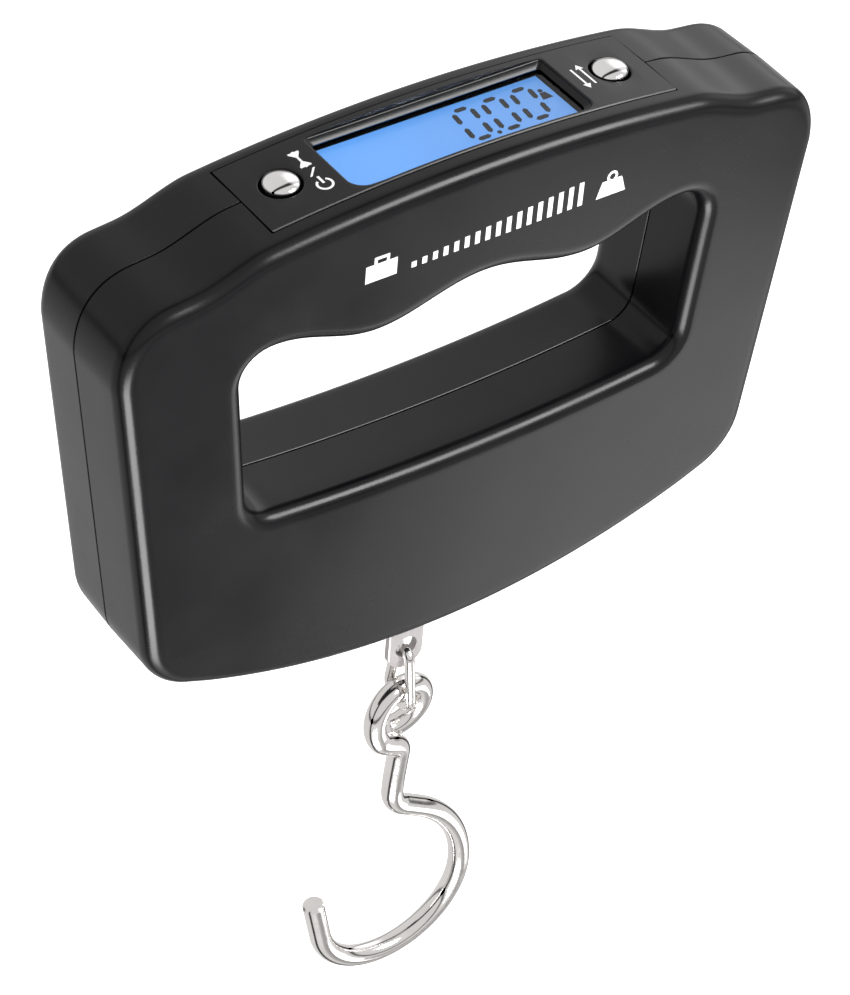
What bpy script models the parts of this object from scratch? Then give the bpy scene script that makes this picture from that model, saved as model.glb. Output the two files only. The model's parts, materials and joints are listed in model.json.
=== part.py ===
"""Digital luggage scale with a bent-wire hook.

The origin is on the underside of the grip bar, in the middle of the hand hole's top, where a hand
carries the scale. +X points to the user's right, +Y away from the user through the housing's
thickness, and +Z up. The housing splits at the plane y = 0. Sizes below are in millimetres.
"""

import math

import bmesh
import bpy
from mathutils import Matrix, Vector

MM = 0.001
GAP = 0.3                    # left between pieces that touch on the real object

# Housing
DEPTH = 24.0                 # front face to back face
WALL = 2.0
RIM_FILLET = 2.6             # outer edge of the front face
HOLE_FILLET = 2.5            # front edge of the hand hole
REAR_FILLET = 3.4            # both edges of the back face
TOP_Z = 21.2                 # crown of the top arch
ARCH_RADIUS = 290.0
ARCH_HALF = 38.0             # the arch ends here and the shoulder's step begins
SHOULDER = (50.0, 15.0)
SHOULDER_SLOPE = -0.12
CORNER_START = (54.0, 14.55)
SIDE_TOP = (62.5, 3.0)       # widest point
SIDE_BOTTOM = (56.5, -56.9)  # where the side and the bottom would meet without a corner radius
CORNER_RADIUS = 12.0
BOTTOM_Z = -69.7
BELLY_RADIUS = 130.0
BELLY_HALF = 46.0

# Hand hole, on the inside of the grip bar and the sides
HOLE_CREST_HALF = 36.5
HOLE_BUMP_X = 18.6           # the grip bar's two finger bumps
HOLE_BUMP_DROP = 3.6
HOLE_CREST_Z = 0.6
HOLE_SIDE_TOP = (41.4, -4.2)
HOLE_SIDE_BOTTOM = (39.3, -30.4)
HOLE_CORNER_RADIUS = 5.0
HOLE_BOTTOM_Z = -32.5
HOLE_BELLY_RADIUS = 360.0
HOLE_BELLY_HALF = 30.0

# Display panel, let into the top arch
PANEL_HALF = (35.5, 8.0)
PANEL_DEPTH = 3.0
FLANGE_HALF = (37.0, 9.4)
FLANGE_DEPTHS = (2.3, 3.6)
VIEW_HALF = (20.2, 6.2)      # part of the display that is seen
WINDOW_HALF = (21.6, 7.4)    # outer edge of the sloped bezel
BUTTON_X = 29.0
BUTTON_TRAVEL = 0.5
CAP_RADIUS = 2.8
CAP_HOLE_RADIUS = 3.2
CAP_FLANGE_RADIUS = 4.0
CAP_TOP_Z = 20.95
CAP_FLANGE_Z = (15.4, 16.2)
CAP_STEM_Z = 14.7

# Display stack, from the lens down to the board
LENS_Z = (18.3, 19.1)
GLASS_Z = (16.4, 18.0)
FRAME_Z = (11.9, 16.0)
LIGHT_Z = (13.4, 16.1)
BOARD_Z = (10.0, 11.6)
BOARD_HALF = (33.0, 8.8)
SWITCH_Z = (11.9, 13.9)
SWITCH_HALF = 3.0
PLUNGER_Z = (13.0, 14.4)
PLUNGER_RADIUS = 1.6

# Load cell, a beam across the lower half with its free end under the strap
CELL_X = (-46.0, 7.0)
CELL_Y = (-8.1, -4.6)
CELL_Z = (-50.8, -38.8)
CELL_BORE_X = (-26.5, -12.5)
CELL_BORE_RADIUS = 4.2
CELL_SCREW_X = (-42.5, -36.0)
STRAP_SCREW_Z = (-42.0, -47.6)
SMALL_SCREW_RADIUS = 1.2
SMALL_HOLE_RADIUS = 1.5

# Strap, link and hook
STRAP_THICK = 1.4
STRAP_HALF = 3.45
STRAP_TOP_Z = -39.2
STRAP_END_Z = -89.3
STRAP_HOLE_Z = -84.8
STRAP_HOLE_RADIUS = 2.1
STRAP_TAB_Y = -3.6           # middle of the tab that is screwed to the load cell
LINK_WIRE = 1.8
LINK_TOP_Z = -85.6
LINK_TOP_RADIUS = 2.0
LINK_BOTTOM_Z = -98.15
LINK_BOTTOM_RADIUS = 3.15
HOOK_WIRE = 3.9
EYE_Z = -100.7
EYE_RADIUS = 5.7
SHANK_X = 0.3
SHANK_END_Z = -120.3
NECK_RADIUS = 5.5
FLANK_CENTRE = (-7.3, -147.1)
FLANK_RADIUS = 24.0
BOWL_RADIUS = 15.0
BOWL_SWEEP = 168.0
TIP_LENGTH = 9.5

# Battery bay, in the rear shell
CELL_DIAMETER = 10.5         # AAA cells
CELL_LENGTH = 44.5
BATTERY_Y = 5.1
BATTERY_Z = (-42.4, -53.5)
BAY_HALF = 26.1
BAY_Z = (-59.05, -36.85)
BAY_WALL = 1.2
BAY_FLOOR_Y = (-1.45, -0.45)
DOOR_Y = (10.65, 12.0)
DOOR_LEDGE = 1.1

# Housing screws: x, z
CASE_SCREWS = {
    "case_screw_upper_left": (-52.0, 8.0),
    "case_screw_upper_right": (52.0, 8.0),
    "case_screw_lower_left": (-50.0, -53.0),
    "case_screw_lower_right": (50.0, -53.0),
}
HEAD_SEAT_Y = 3.2

# Finishes: colour, roughness, metallic
CHARCOAL = ((0.030, 0.031, 0.034, 1.0), 0.42, 0.0)
BLACK = ((0.015, 0.015, 0.017, 1.0), 0.35, 0.0)
CLEAR = ((0.75, 0.85, 0.95, 1.0), 0.05, 0.0)
BLUE_GLASS = ((0.10, 0.42, 1.0, 1.0), 0.12, 0.0)
MILKY = ((0.85, 0.87, 0.90, 1.0), 0.30, 0.0)
RUBBER = ((0.09, 0.08, 0.10, 1.0), 0.80, 0.0)
BOARD_GREEN = ((0.02, 0.16, 0.07, 1.0), 0.40, 0.0)
CHROME = ((0.80, 0.80, 0.82, 1.0), 0.08, 1.0)
NICKEL = ((0.66, 0.65, 0.63, 1.0), 0.18, 1.0)
STEEL = ((0.55, 0.55, 0.56, 1.0), 0.32, 1.0)
ALUMINIUM = ((0.72, 0.73, 0.75, 1.0), 0.38, 1.0)
FOIL = ((0.72, 0.42, 0.12, 1.0), 0.45, 0.0)
BATTERY_WRAP = ((0.10, 0.14, 0.30, 1.0), 0.30, 0.0)
WIRE_RED = ((0.55, 0.03, 0.02, 1.0), 0.50, 0.0)
WIRE_BLACK = ((0.02, 0.02, 0.02, 1.0), 0.50, 0.0)
WIRE_GREY = ((0.35, 0.35, 0.37, 1.0), 0.55, 0.0)


# ---------------------------------------------------------------- scene and objects

def clear_scene():
    for obj in list(bpy.data.objects):
        bpy.data.objects.remove(obj)


def new_collection(name):
    collection = bpy.data.collections.new(name)
    bpy.context.scene.collection.children.link(collection)
    return collection


clear_scene()
PARTS = new_collection("luggage_scale")
CUTTERS = new_collection("luggage_scale_cutters")


def add_object(name, data):
    obj = bpy.data.objects.new(name, data)
    PARTS.objects.link(obj)
    return obj


def finish(obj, look):
    """Gives the object its own material."""
    colour, roughness, metallic = look
    material = bpy.data.materials.new(obj.name)
    material.use_nodes = True
    shader = material.node_tree.nodes["Principled BSDF"]
    shader.inputs["Base Color"].default_value = colour
    shader.inputs["Roughness"].default_value = roughness
    shader.inputs["Metallic"].default_value = metallic
    material.diffuse_color = colour
    obj.data.materials.clear()
    obj.data.materials.append(material)
    return obj


def as_tool(obj):
    """Marks an object that only shapes another one."""
    PARTS.objects.unlink(obj)
    CUTTERS.objects.link(obj)
    obj.hide_render = True
    obj.display_type = "WIRE"


def combine(obj, tool, operation):
    as_tool(tool)
    modifier = obj.modifiers.new(tool.name, "BOOLEAN")
    modifier.operation = operation
    modifier.solver = "EXACT"
    modifier.object = tool


def cut(obj, tool):
    combine(obj, tool, "DIFFERENCE")


def join(obj, tool):
    combine(obj, tool, "UNION")


def hinge_empty(name, location, obj):
    """Parents a moving piece to an empty on its joint's axis."""
    empty = add_object(name, None)
    empty.location = Vector(location) * MM
    bpy.context.view_layer.update()
    obj.parent = empty
    obj.matrix_parent_inverse = empty.matrix_world.inverted()


# ---------------------------------------------------------------- solids

def mesh_object(name, bm):
    mesh = bpy.data.meshes.new(name)
    bm.to_mesh(mesh)
    bm.free()
    return add_object(name, mesh)


def box(name, x, y, z):
    """Box between the given (low, high) pairs."""
    bm = bmesh.new()
    size = Vector((x[1] - x[0], y[1] - y[0], z[1] - z[0])) * MM
    middle = Vector((x[0] + x[1], y[0] + y[1], z[0] + z[1])) * (MM / 2)
    bmesh.ops.create_cube(bm, size=1.0, matrix=Matrix.Translation(middle) @ Matrix.Diagonal((*size, 1.0)))
    return mesh_object(name, bm)


def tapered_box(name, half_low, half_high, z):
    """Box around the Z axis whose top and bottom have different half sizes."""
    bm = bmesh.new()
    bmesh.ops.create_cube(bm, size=2.0)
    for vert in bm.verts:
        half, height = (half_high, z[1]) if vert.co.z > 0 else (half_low, z[0])
        vert.co = Vector((vert.co.x * half[0], vert.co.y * half[1], height)) * MM
    return mesh_object(name, bm)


AXES = {
    "X": Matrix(((0, 0, 1), (1, 0, 0), (0, 1, 0))).to_4x4(),
    "Y": Matrix.Rotation(math.radians(90), 4, "X"),
    "-Y": Matrix.Rotation(math.radians(-90), 4, "X"),
    "Z": Matrix.Identity(4),
}


def cylinder(name, radius, along, span, centre, sides=16):
    """Cylinder along X, Y or Z; centre gives the other two coordinates in X, Y, Z order."""
    middle = (span[0] + span[1]) / 2
    place = {
        "X": (middle, *centre),
        "Y": (centre[0], middle, centre[1]),
        "Z": (*centre, middle),
    }[along]
    bm = bmesh.new()
    bmesh.ops.create_cone(
        bm, cap_ends=True, segments=sides, radius1=radius * MM, radius2=radius * MM,
        depth=(span[1] - span[0]) * MM,
        matrix=Matrix.Translation(Vector(place) * MM) @ AXES[along])
    return mesh_object(name, bm)


def turned(name, profile, place=(0, 0, 0), facing="Z", sides=24):
    """Solid of revolution. The profile's (radius, height) points run down its outer side."""
    bm = bmesh.new()
    verts = [bm.verts.new((radius * MM, 0, height * MM)) for radius, height in profile]
    for upper, lower in zip(verts, verts[1:]):
        bm.edges.new((upper, lower))
    obj = mesh_object(name, bm)
    screw = obj.modifiers.new("turn", "SCREW")
    screw.axis = "Z"
    screw.steps = sides
    screw.render_steps = sides
    screw.use_merge_vertices = True
    screw.merge_threshold = 1e-6
    screw.use_smooth_shade = False
    obj.matrix_world = Matrix.Translation(Vector(place) * MM) @ AXES[facing]
    return obj


def curve_to_mesh(curve_obj):
    """Replaces a curve object with a mesh whose caps are welded on."""
    bpy.context.view_layer.update()
    depsgraph = bpy.context.evaluated_depsgraph_get()
    mesh = bpy.data.meshes.new_from_object(curve_obj.evaluated_get(depsgraph))
    bm = bmesh.new()
    bm.from_mesh(mesh)
    bmesh.ops.remove_doubles(bm, verts=bm.verts, dist=1e-6)
    bmesh.ops.recalc_face_normals(bm, faces=bm.faces)
    bm.to_mesh(mesh)
    bm.free()
    name = curve_obj.name
    placed = curve_obj.matrix_world.copy()
    bpy.data.objects.remove(curve_obj)
    obj = add_object(name, mesh)
    obj.matrix_world = placed
    return obj


def add_spline(curve, points, closed):
    spline = curve.splines.new("POLY")
    spline.points.add(len(points) - 1)
    spline.use_cyclic_u = closed
    for spline_point, point in zip(spline.points, points):
        spline_point.co = (*(Vector(point).to_3d() * MM), 1.0)


def plate(name, loops, along, span):
    """Flat outline extruded along X, Y or Z. Its loops are in the other two coordinates."""
    curve = bpy.data.curves.new(name, "CURVE")
    curve.dimensions = "2D"
    curve.fill_mode = "BOTH"
    curve.extrude = (span[1] - span[0]) / 2 * MM
    for loop in loops:
        add_spline(curve, loop, closed=True)
    obj = add_object(name, curve)
    direction = {"X": Vector((1, 0, 0)), "Y": Vector((0, 1, 0)), "Z": Vector((0, 0, 1))}[along]
    obj.matrix_world = Matrix.Translation(direction * ((span[0] + span[1]) / 2 * MM)) @ AXES[along]
    return curve_to_mesh(obj)


def wire(name, points, diameter, closed=False, origin=(0, 0, 0)):
    """Round wire along the points, with its object's origin at the given place."""
    curve = bpy.data.curves.new(name, "CURVE")
    curve.dimensions = "3D"
    curve.bevel_depth = diameter / 2 * MM
    curve.bevel_resolution = 2
    curve.use_fill_caps = True
    add_spline(curve, [Vector(point) - Vector(origin) for point in points], closed)
    obj = add_object(name, curve)
    obj.location = Vector(origin) * MM
    return curve_to_mesh(obj)


# ---------------------------------------------------------------- outlines

def arc(centre, radius, start, end, steps):
    """Points on a circle between two angles in degrees, both ends included."""
    angles = [math.radians(start + (end - start) * i / steps) for i in range(steps + 1)]
    return [(centre[0] + radius * math.cos(a), centre[1] + radius * math.sin(a)) for a in angles]


def bezier(start, handle_a, handle_b, end, steps):
    """Points on a cubic Bezier curve, without its first point."""
    points = []
    for i in range(1, steps + 1):
        t = i / steps
        weights = ((1 - t) ** 3, 3 * t * (1 - t) ** 2, 3 * t * t * (1 - t), t ** 3)
        corners = (start, handle_a, handle_b, end)
        points.append(tuple(sum(w * c[k] for w, c in zip(weights, corners)) for k in range(len(start))))
    return points


def rounded_corner(before, corner, after, radius, steps):
    """Arc that rounds the corner between two straight stretches."""
    corner = Vector(corner)
    back = (Vector(before) - corner).normalized()
    ahead = (Vector(after) - corner).normalized()
    half_angle = back.angle(ahead) / 2
    centre = corner + (back + ahead).normalized() * (radius / math.sin(half_angle))
    start = corner + back * (radius / math.tan(half_angle)) - centre
    turn = back.angle_signed(-ahead)
    points = []
    for i in range(steps + 1):
        angle = -turn * i / steps
        cos, sin = math.cos(angle), math.sin(angle)
        points.append((centre.x + start.x * cos - start.y * sin, centre.y + start.x * sin + start.y * cos))
    return points


def rounded_rectangle(half_width, half_height, radius, centre=(0, 0), steps=4):
    loop = []
    for x_side, y_side, start in ((1, 1, 0), (-1, 1, 90), (-1, -1, 180), (1, -1, 270)):
        middle = (centre[0] + x_side * (half_width - radius), centre[1] + y_side * (half_height - radius))
        loop += arc(middle, radius, start, start + 90, steps)
    return loop


def mirrored(half):
    """Closed loop from its right half, which runs from the top middle to the bottom middle."""
    return half[::-1] + [(-x, z) for x, z in half[1:-1]]


def offset_loop(loop, distance):
    """Grows a counter-clockwise loop by distance, or shrinks it when distance is negative."""
    moved = []
    for before, here, after in zip(loop[-1:] + loop[:-1], loop, loop[1:] + loop[:1]):
        first = (Vector(here) - Vector(before)).normalized()
        second = (Vector(after) - Vector(here)).normalized()
        normal = (Vector((first.y, -first.x)) + Vector((second.y, -second.x))).normalized()
        stretch = 1 / max(normal.dot(Vector((first.y, -first.x))), 0.5)
        moved.append(tuple(Vector(here) + normal * (distance * stretch)))
    return moved


def band(points, thickness):
    """Closed loop of a strip of even thickness along an open line."""
    left, right = [], []
    for i, here in enumerate(points):
        before = Vector(points[max(i - 1, 0)])
        after = Vector(points[min(i + 1, len(points) - 1)])
        first = (Vector(here) - before).normalized() if i else (after - Vector(here)).normalized()
        second = (after - Vector(here)).normalized() if i < len(points) - 1 else first
        along = (first + second).normalized()
        normal = Vector((-along.y, along.x)) * (thickness / 2 / max(along.dot(first), 0.5))
        left.append(tuple(Vector(here) + normal))
        right.append(tuple(Vector(here) - normal))
    return right + left[::-1]


def smooth_route(points, steps):
    """Points on a Catmull-Rom curve through a cord's route."""
    route = [Vector(p) for p in (points[0], *points, points[-1])]
    curve = [route[0]]
    for a, b, c, d in zip(route, route[1:], route[2:], route[3:]):
        for i in range(1, steps + 1):
            t = i / steps
            curve.append(0.5 * (2 * b + (c - a) * t + (2 * a - 5 * b + 4 * c - d) * t * t
                                + (3 * b - a - 3 * c + d) * t ** 3))
    return curve


def arch_z(x, depth=0.0):
    """Height of the top arch at x, or of the surface that lies depth below it."""
    return TOP_Z - ARCH_RADIUS + math.sqrt((ARCH_RADIUS - depth) ** 2 - x * x)


def belly_z(x):
    """Height of the housing's curved bottom at x."""
    return BOTTOM_Z + BELLY_RADIUS - math.sqrt(BELLY_RADIUS ** 2 - x * x)


def hole_bottom_z(x):
    return HOLE_BOTTOM_Z + HOLE_BELLY_RADIUS - math.sqrt(HOLE_BELLY_RADIUS ** 2 - x * x)


def hole_top_z(x):
    """Underside of the grip bar: two bumps for the fingers, then a rise to the corners."""
    if x < HOLE_BUMP_X:
        return -HOLE_BUMP_DROP / 2 * (1 - math.cos(math.pi * x / HOLE_BUMP_X))
    rise = (HOLE_BUMP_DROP + HOLE_CREST_Z) / 2
    phase = math.pi * (x - HOLE_BUMP_X) / (HOLE_CREST_HALF - HOLE_BUMP_X)
    return -HOLE_BUMP_DROP + rise * (1 - math.cos(phase))


def housing_outline():
    half = [(x, arch_z(x)) for x in (ARCH_HALF * i / 6 for i in range(7))]
    arch_end = half[-1]
    arch_slope = -ARCH_HALF / math.sqrt(ARCH_RADIUS ** 2 - ARCH_HALF ** 2)
    reach = (SHOULDER[0] - ARCH_HALF) / 3
    half += bezier(
        arch_end,
        (arch_end[0] + reach, arch_end[1] + reach * arch_slope),
        (SHOULDER[0] - reach, SHOULDER[1] - reach * SHOULDER_SLOPE),
        SHOULDER, 5)
    half.append(CORNER_START)
    half += bezier(CORNER_START, (59.5, 13.7), (SIDE_TOP[0], 9.5), SIDE_TOP, 7)
    belly = [(x, belly_z(x)) for x in (BELLY_HALF * (1 - i / 6) for i in range(7))]
    half += rounded_corner(SIDE_TOP, SIDE_BOTTOM, belly[0], CORNER_RADIUS, 7)
    half += belly
    return mirrored(half)


def hand_hole_outline():
    crest = (HOLE_CREST_HALF, HOLE_CREST_Z)
    half = [(x, hole_top_z(x)) for x in (HOLE_CREST_HALF * i / 12 for i in range(13))]
    half += bezier(crest, (39.2, HOLE_CREST_Z), (HOLE_SIDE_TOP[0], -1.1), HOLE_SIDE_TOP, 5)
    belly = [(x, hole_bottom_z(x)) for x in (HOLE_BELLY_HALF * (1 - i / 3) for i in range(4))]
    half += rounded_corner(HOLE_SIDE_TOP, HOLE_SIDE_BOTTOM, belly[0], HOLE_CORNER_RADIUS, 5)
    half += belly
    return mirrored(half)


# ---------------------------------------------------------------- housing

def housing_half(name, span, face_y):
    """Hollow half housing between the y values of span, with its outer face at face_y."""
    outline, hole = housing_outline(), hand_hole_outline()
    shell = plate(name, [outline, hole], "Y", span)
    round_rims(shell, face_y)
    inner_y = face_y - math.copysign(WALL, face_y)
    beyond = -math.copysign(1.0, face_y)
    cavity_loops = [offset_loop(outline, -WALL), offset_loop(hole, WALL)]
    cut(shell, plate(name + "_cavity", cavity_loops, "Y", sorted((inner_y, beyond))))
    return shell


def round_rims(shell, face_y):
    """Fillets the outer rim and the hand hole's rim of one face."""
    rim_fillet, hole_fillet = (RIM_FILLET, HOLE_FILLET) if face_y < 0 else (REAR_FILLET, REAR_FILLET)
    bm = bmesh.new()
    bm.from_mesh(shell.data)
    weight = bm.edges.layers.float.new("bevel_weight_edge")
    for edge in bm.edges:
        ends = [shell.matrix_world @ vert.co / MM for vert in edge.verts]
        on_face = all(abs(end.y - face_y) < 0.01 for end in ends)
        turns = edge.calc_face_angle(0.0) > math.radians(45)
        if on_face and turns:
            at_hole = abs(ends[0].x) < 42 and -34 < ends[0].z < 1
            edge[weight] = hole_fillet / rim_fillet if at_hole else 1.0
    bm.to_mesh(shell.data)
    bm.free()
    bevel = shell.modifiers.new("rims", "BEVEL")
    bevel.limit_method = "WEIGHT"
    bevel.width = rim_fillet * MM
    bevel.segments = 3
    bevel.use_clamp_overlap = False


def cut_shared_openings(shell):
    """Openings that both halves of the housing share: the display panel's and the strap's."""
    name = shell.name
    half_x = PANEL_HALF[0] + GAP
    half_y = PANEL_HALF[1] + GAP
    cut(shell, box(name + "_panel_opening", (-half_x, half_x), (-half_y, half_y), (12.0, TOP_Z + 3)))
    slot_x = STRAP_HALF + 0.45
    slot_y = STRAP_THICK / 2 + 0.5
    cut(shell, box(name + "_strap_slot", (-slot_x, slot_x), (-slot_y, slot_y), (-75.0, -64.0)))


def add_board_ledges(shell, y):
    """Ribs that the circuit board rests on, one near each end of the grip bar."""
    for side, x in (("left", (-33.0, -29.0)), ("right", (29.0, 33.0))):
        ledge = box(f"{shell.name}_ledge_{side}", x, y, (7.5, BOARD_Z[0] - GAP))
        join(shell, ledge)


def front_shell():
    face = -DEPTH / 2
    inner = face + WALL
    shell = housing_half("front_shell", (face, -GAP / 2), face)
    add_board_ledges(shell, (inner - 0.5, -7.5))
    for name, (x, z) in CASE_SCREWS.items():
        join(shell, cylinder(f"front_boss_{name}", 3.2, "Y", (inner - 0.5, -GAP / 2 - 0.1), (x, z)))
    for index, x in enumerate(CELL_SCREW_X):
        pad = cylinder(f"cell_pad_{index}", 3.0, "Y", (inner - 0.5, CELL_Y[0] - GAP), (x, cell_middle()))
        join(shell, pad)
    for name, (x, z) in CASE_SCREWS.items():
        cut(shell, cylinder(f"front_bore_{name}", SMALL_HOLE_RADIUS, "Y", (-8.8, 1.0), (x, z), 12))
    for index, x in enumerate(CELL_SCREW_X):
        bore = cylinder(f"cell_pad_bore_{index}", SMALL_HOLE_RADIUS, "Y", (-11.2, -8.0), (x, cell_middle()), 12)
        cut(shell, bore)
    cut_shared_openings(shell)
    return finish(shell, CHARCOAL)


def rear_shell():
    face = DEPTH / 2
    inner = face - WALL
    shell = housing_half("rear_shell", (GAP / 2, face), face)
    add_board_ledges(shell, (7.5, inner + 0.5))
    for name, (x, z) in CASE_SCREWS.items():
        join(shell, cylinder(f"rear_boss_{name}", 3.6, "Y", (GAP / 2 + 0.1, inner + 0.5), (x, z)))
    add_battery_bay(shell)
    for name, (x, z) in CASE_SCREWS.items():
        cut(shell, cylinder(f"rear_bore_{name}", SMALL_HOLE_RADIUS, "Y", (-1.0, HEAD_SEAT_Y + 0.5), (x, z), 12))
        cut(shell, cylinder(f"rear_head_{name}", 2.7, "Y", (HEAD_SEAT_Y, face + 1), (x, z), 16))
    cut_shared_openings(shell)
    return finish(shell, CHARCOAL)


def add_battery_bay(shell):
    """Open box for two cells, with a ledge around its mouth for the door."""
    outer_x = BAY_HALF + BAY_WALL
    low = BAY_Z[0] - BAY_WALL
    floor = BAY_FLOOR_Y
    join(shell, box("bay_front", (-outer_x, outer_x), (floor[0], 0.7), (low, -34.85)))
    join(shell, box("bay_rear", (-outer_x, outer_x), (GAP / 2 + 0.1, 10.5), (low, -33.2)))
    cut(shell, box("bay_inside", (-BAY_HALF, BAY_HALF), (floor[1], 14.0), BAY_Z))
    recess_x = BAY_HALF + DOOR_LEDGE
    recess_z = (BAY_Z[0] - DOOR_LEDGE, BAY_Z[1] + DOOR_LEDGE)
    cut(shell, box("door_recess", (-recess_x, recess_x), (DOOR_Y[0] - GAP, 14.0), recess_z))
    for side in (-1, 1):
        notch_x = sorted((side * 9.4, side * 16.6))
        cut(shell, box(f"door_notch_{side}", notch_x, (8.0, 10.6), (low - 0.5, BAY_Z[0] + 1)))
    for index, z in enumerate((-39.0, -57.4)):
        cut(shell, cylinder(f"lead_hole_{index}", 0.9, "X", (-28.0, -25.5), (1.3, z), 12))


def battery_door():
    """Snap-in door: its tongues slip behind the rear wall and its latch leg holds the top edge."""
    half_x = BAY_HALF + DOOR_LEDGE - GAP
    low = BAY_Z[0] - DOOR_LEDGE + GAP
    high = BAY_Z[1] + DOOR_LEDGE - GAP
    outline = rounded_rectangle(half_x, (high - low) / 2, 0.8, (0, (low + high) / 2), 2)
    door = plate("battery_door", [outline], "Y", DOOR_Y)
    for side in (-1, 1):
        x = sorted((side * 10.0, side * 16.0))
        join(door, box(f"door_neck_{side}", x, (8.6, DOOR_Y[0] + 0.6), (low + 0.1, low + 1.3)))
        join(door, box(f"door_tongue_{side}", sorted((side * 10.2, side * 15.8)), (8.7, 9.65), (low - 1.8, low + 0.6)))
    join(door, box("door_latch", (-4.0, 4.0), (9.0, DOOR_Y[0] + 0.6), (-38.4, -37.4)))
    cut(door, cylinder("door_finger_notch", 6.0, "X", (-6.0, 6.0), (DOOR_Y[1] + 5.2, high - 3.0), 24))
    hinge_empty("battery_door_hinge", (0, DOOR_Y[1], low), door)
    return finish(door, CHARCOAL)


def screw(name, place, facing, head, shank_length):
    """Small pan-head screw with a cross recess. The head's underside is at its place."""
    head_radius, head_height = head
    tip = -shank_length
    profile = [
        (0, head_height),
        (head_radius - 0.35, head_height),
        (head_radius, head_height - 0.3),
        (head_radius, 0),
        (SMALL_SCREW_RADIUS, 0),
        (SMALL_SCREW_RADIUS, tip + 0.6),
        (0.5, tip),
        (0, tip),
    ]
    obj = turned(name, profile, place, facing, sides=12)
    arm, half_width = head_radius * 0.6, 0.3
    top = place[1] + head_height
    for label, half_x, half_z, depth in (("a", arm, half_width, 0.55), ("b", half_width, arm, 0.5)):
        x = (place[0] - half_x, place[0] + half_x)
        z = (place[2] - half_z, place[2] + half_z)
        cut(obj, box(f"{name}_recess_{label}", x, (top - head_height * depth, top + 0.5), z))
    return finish(obj, STEEL)


def case_screws():
    for name, (x, z) in CASE_SCREWS.items():
        screw(name, (x, HEAD_SEAT_Y + GAP, z), "-Y", (2.3, 1.7), 11.6)


# ---------------------------------------------------------------- display

def arch_strip(name, half, depths):
    """Strip that follows the top arch, between two depths below it."""
    xs = [half[0] * (i / 7 - 1) for i in range(15)]
    lower = [(x, arch_z(x, depths[1])) for x in xs]
    upper = [(x, arch_z(x, depths[0])) for x in reversed(xs)]
    return plate(name, [lower + upper], "Y", (-half[1], half[1]))


def display_panel():
    panel = arch_strip("display_panel", PANEL_HALF, (0.0, PANEL_DEPTH))
    join(panel, arch_strip("panel_flange", FLANGE_HALF, FLANGE_DEPTHS))
    pocket_top = LENS_Z[1] + GAP
    cut(panel, box("display_pocket", (-22.3, 22.3), (-7.4, 7.4), (11.5, pocket_top)))
    cut(panel, tapered_box("display_window", VIEW_HALF, window_mouth(), (pocket_top - 0.5, TOP_Z + 1)))
    for side in (-1, 1):
        centre = (side * BUTTON_X, 0)
        cut(panel, cylinder(f"cap_pocket_{side}", CAP_FLANGE_RADIUS + 0.5, "Z", (10.5, 16.5), centre, 20))
        cut(panel, cylinder(f"cap_hole_{side}", CAP_HOLE_RADIUS, "Z", (15.0, 24.0), centre, 24))
    return finish(panel, BLACK)


def window_mouth():
    """Half sizes of the window's cutter, widened in line with the bezel above the panel."""
    return (WINDOW_HALF[0] + 0.6, WINDOW_HALF[1] + 0.3)


def lcd_lens():
    return finish(box("lcd_lens", (-22.0, 22.0), (-7.1, 7.1), LENS_Z), CLEAR)


def lcd_glass():
    return finish(box("lcd_glass", (-21.9, 21.9), (-7.1, 7.1), GLASS_Z), BLUE_GLASS)


def lcd_frame():
    frame = box("lcd_frame", (-24.5, 24.5), (-9.0, 9.0), FRAME_Z)
    cut(frame, box("lcd_frame_opening", (-21.1, 21.1), (-6.5, 7.3), (FRAME_Z[0] - 1, FRAME_Z[1] + 1)))
    return finish(frame, BLACK)


def backlight_plate():
    return finish(box("backlight_plate", (-20.8, 20.8), (-6.2, 5.0), LIGHT_Z), MILKY)


def zebra_strip():
    return finish(box("zebra_strip", (-18.0, 18.0), (5.3, 7.0), (FRAME_Z[0], LIGHT_Z[1])), RUBBER)


def main_board():
    outline = rounded_rectangle(BOARD_HALF[0], BOARD_HALF[1], 1.5, steps=3)
    return finish(plate("main_board", [outline], "Z", BOARD_Z), BOARD_GREEN)


def controller_chip():
    """Resin drop over the chip, on the board's underside."""
    top = BOARD_Z[0] - GAP
    drop = [(0, top), (4.5, top)]
    drop += [(4.5 * math.cos(a), top - 1.8 * math.sin(a)) for a in (math.radians(18 * i) for i in range(1, 6))]
    drop[-1] = (0, top - 1.8)
    return finish(turned("controller_chip", drop), BLACK)


def tact_switch(name, x):
    middle = (x - SWITCH_HALF, x + SWITCH_HALF)
    body = box(name, middle, (-SWITCH_HALF, SWITCH_HALF), SWITCH_Z)
    cut(body, cylinder(name + "_well", PLUNGER_RADIUS + GAP, "Z", (SWITCH_Z[0] + 0.5, SWITCH_Z[1] + 1), (x, 0)))
    return finish(body, STEEL)


def switch_plunger(name, x):
    low, high = (z - PLUNGER_Z[0] for z in PLUNGER_Z)
    profile = [(0, high), (PLUNGER_RADIUS - 0.3, high), (PLUNGER_RADIUS, high - 0.3), (PLUNGER_RADIUS, low), (0, low)]
    return finish(turned(name, profile, (x, 0, PLUNGER_Z[0])), BLACK)


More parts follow.
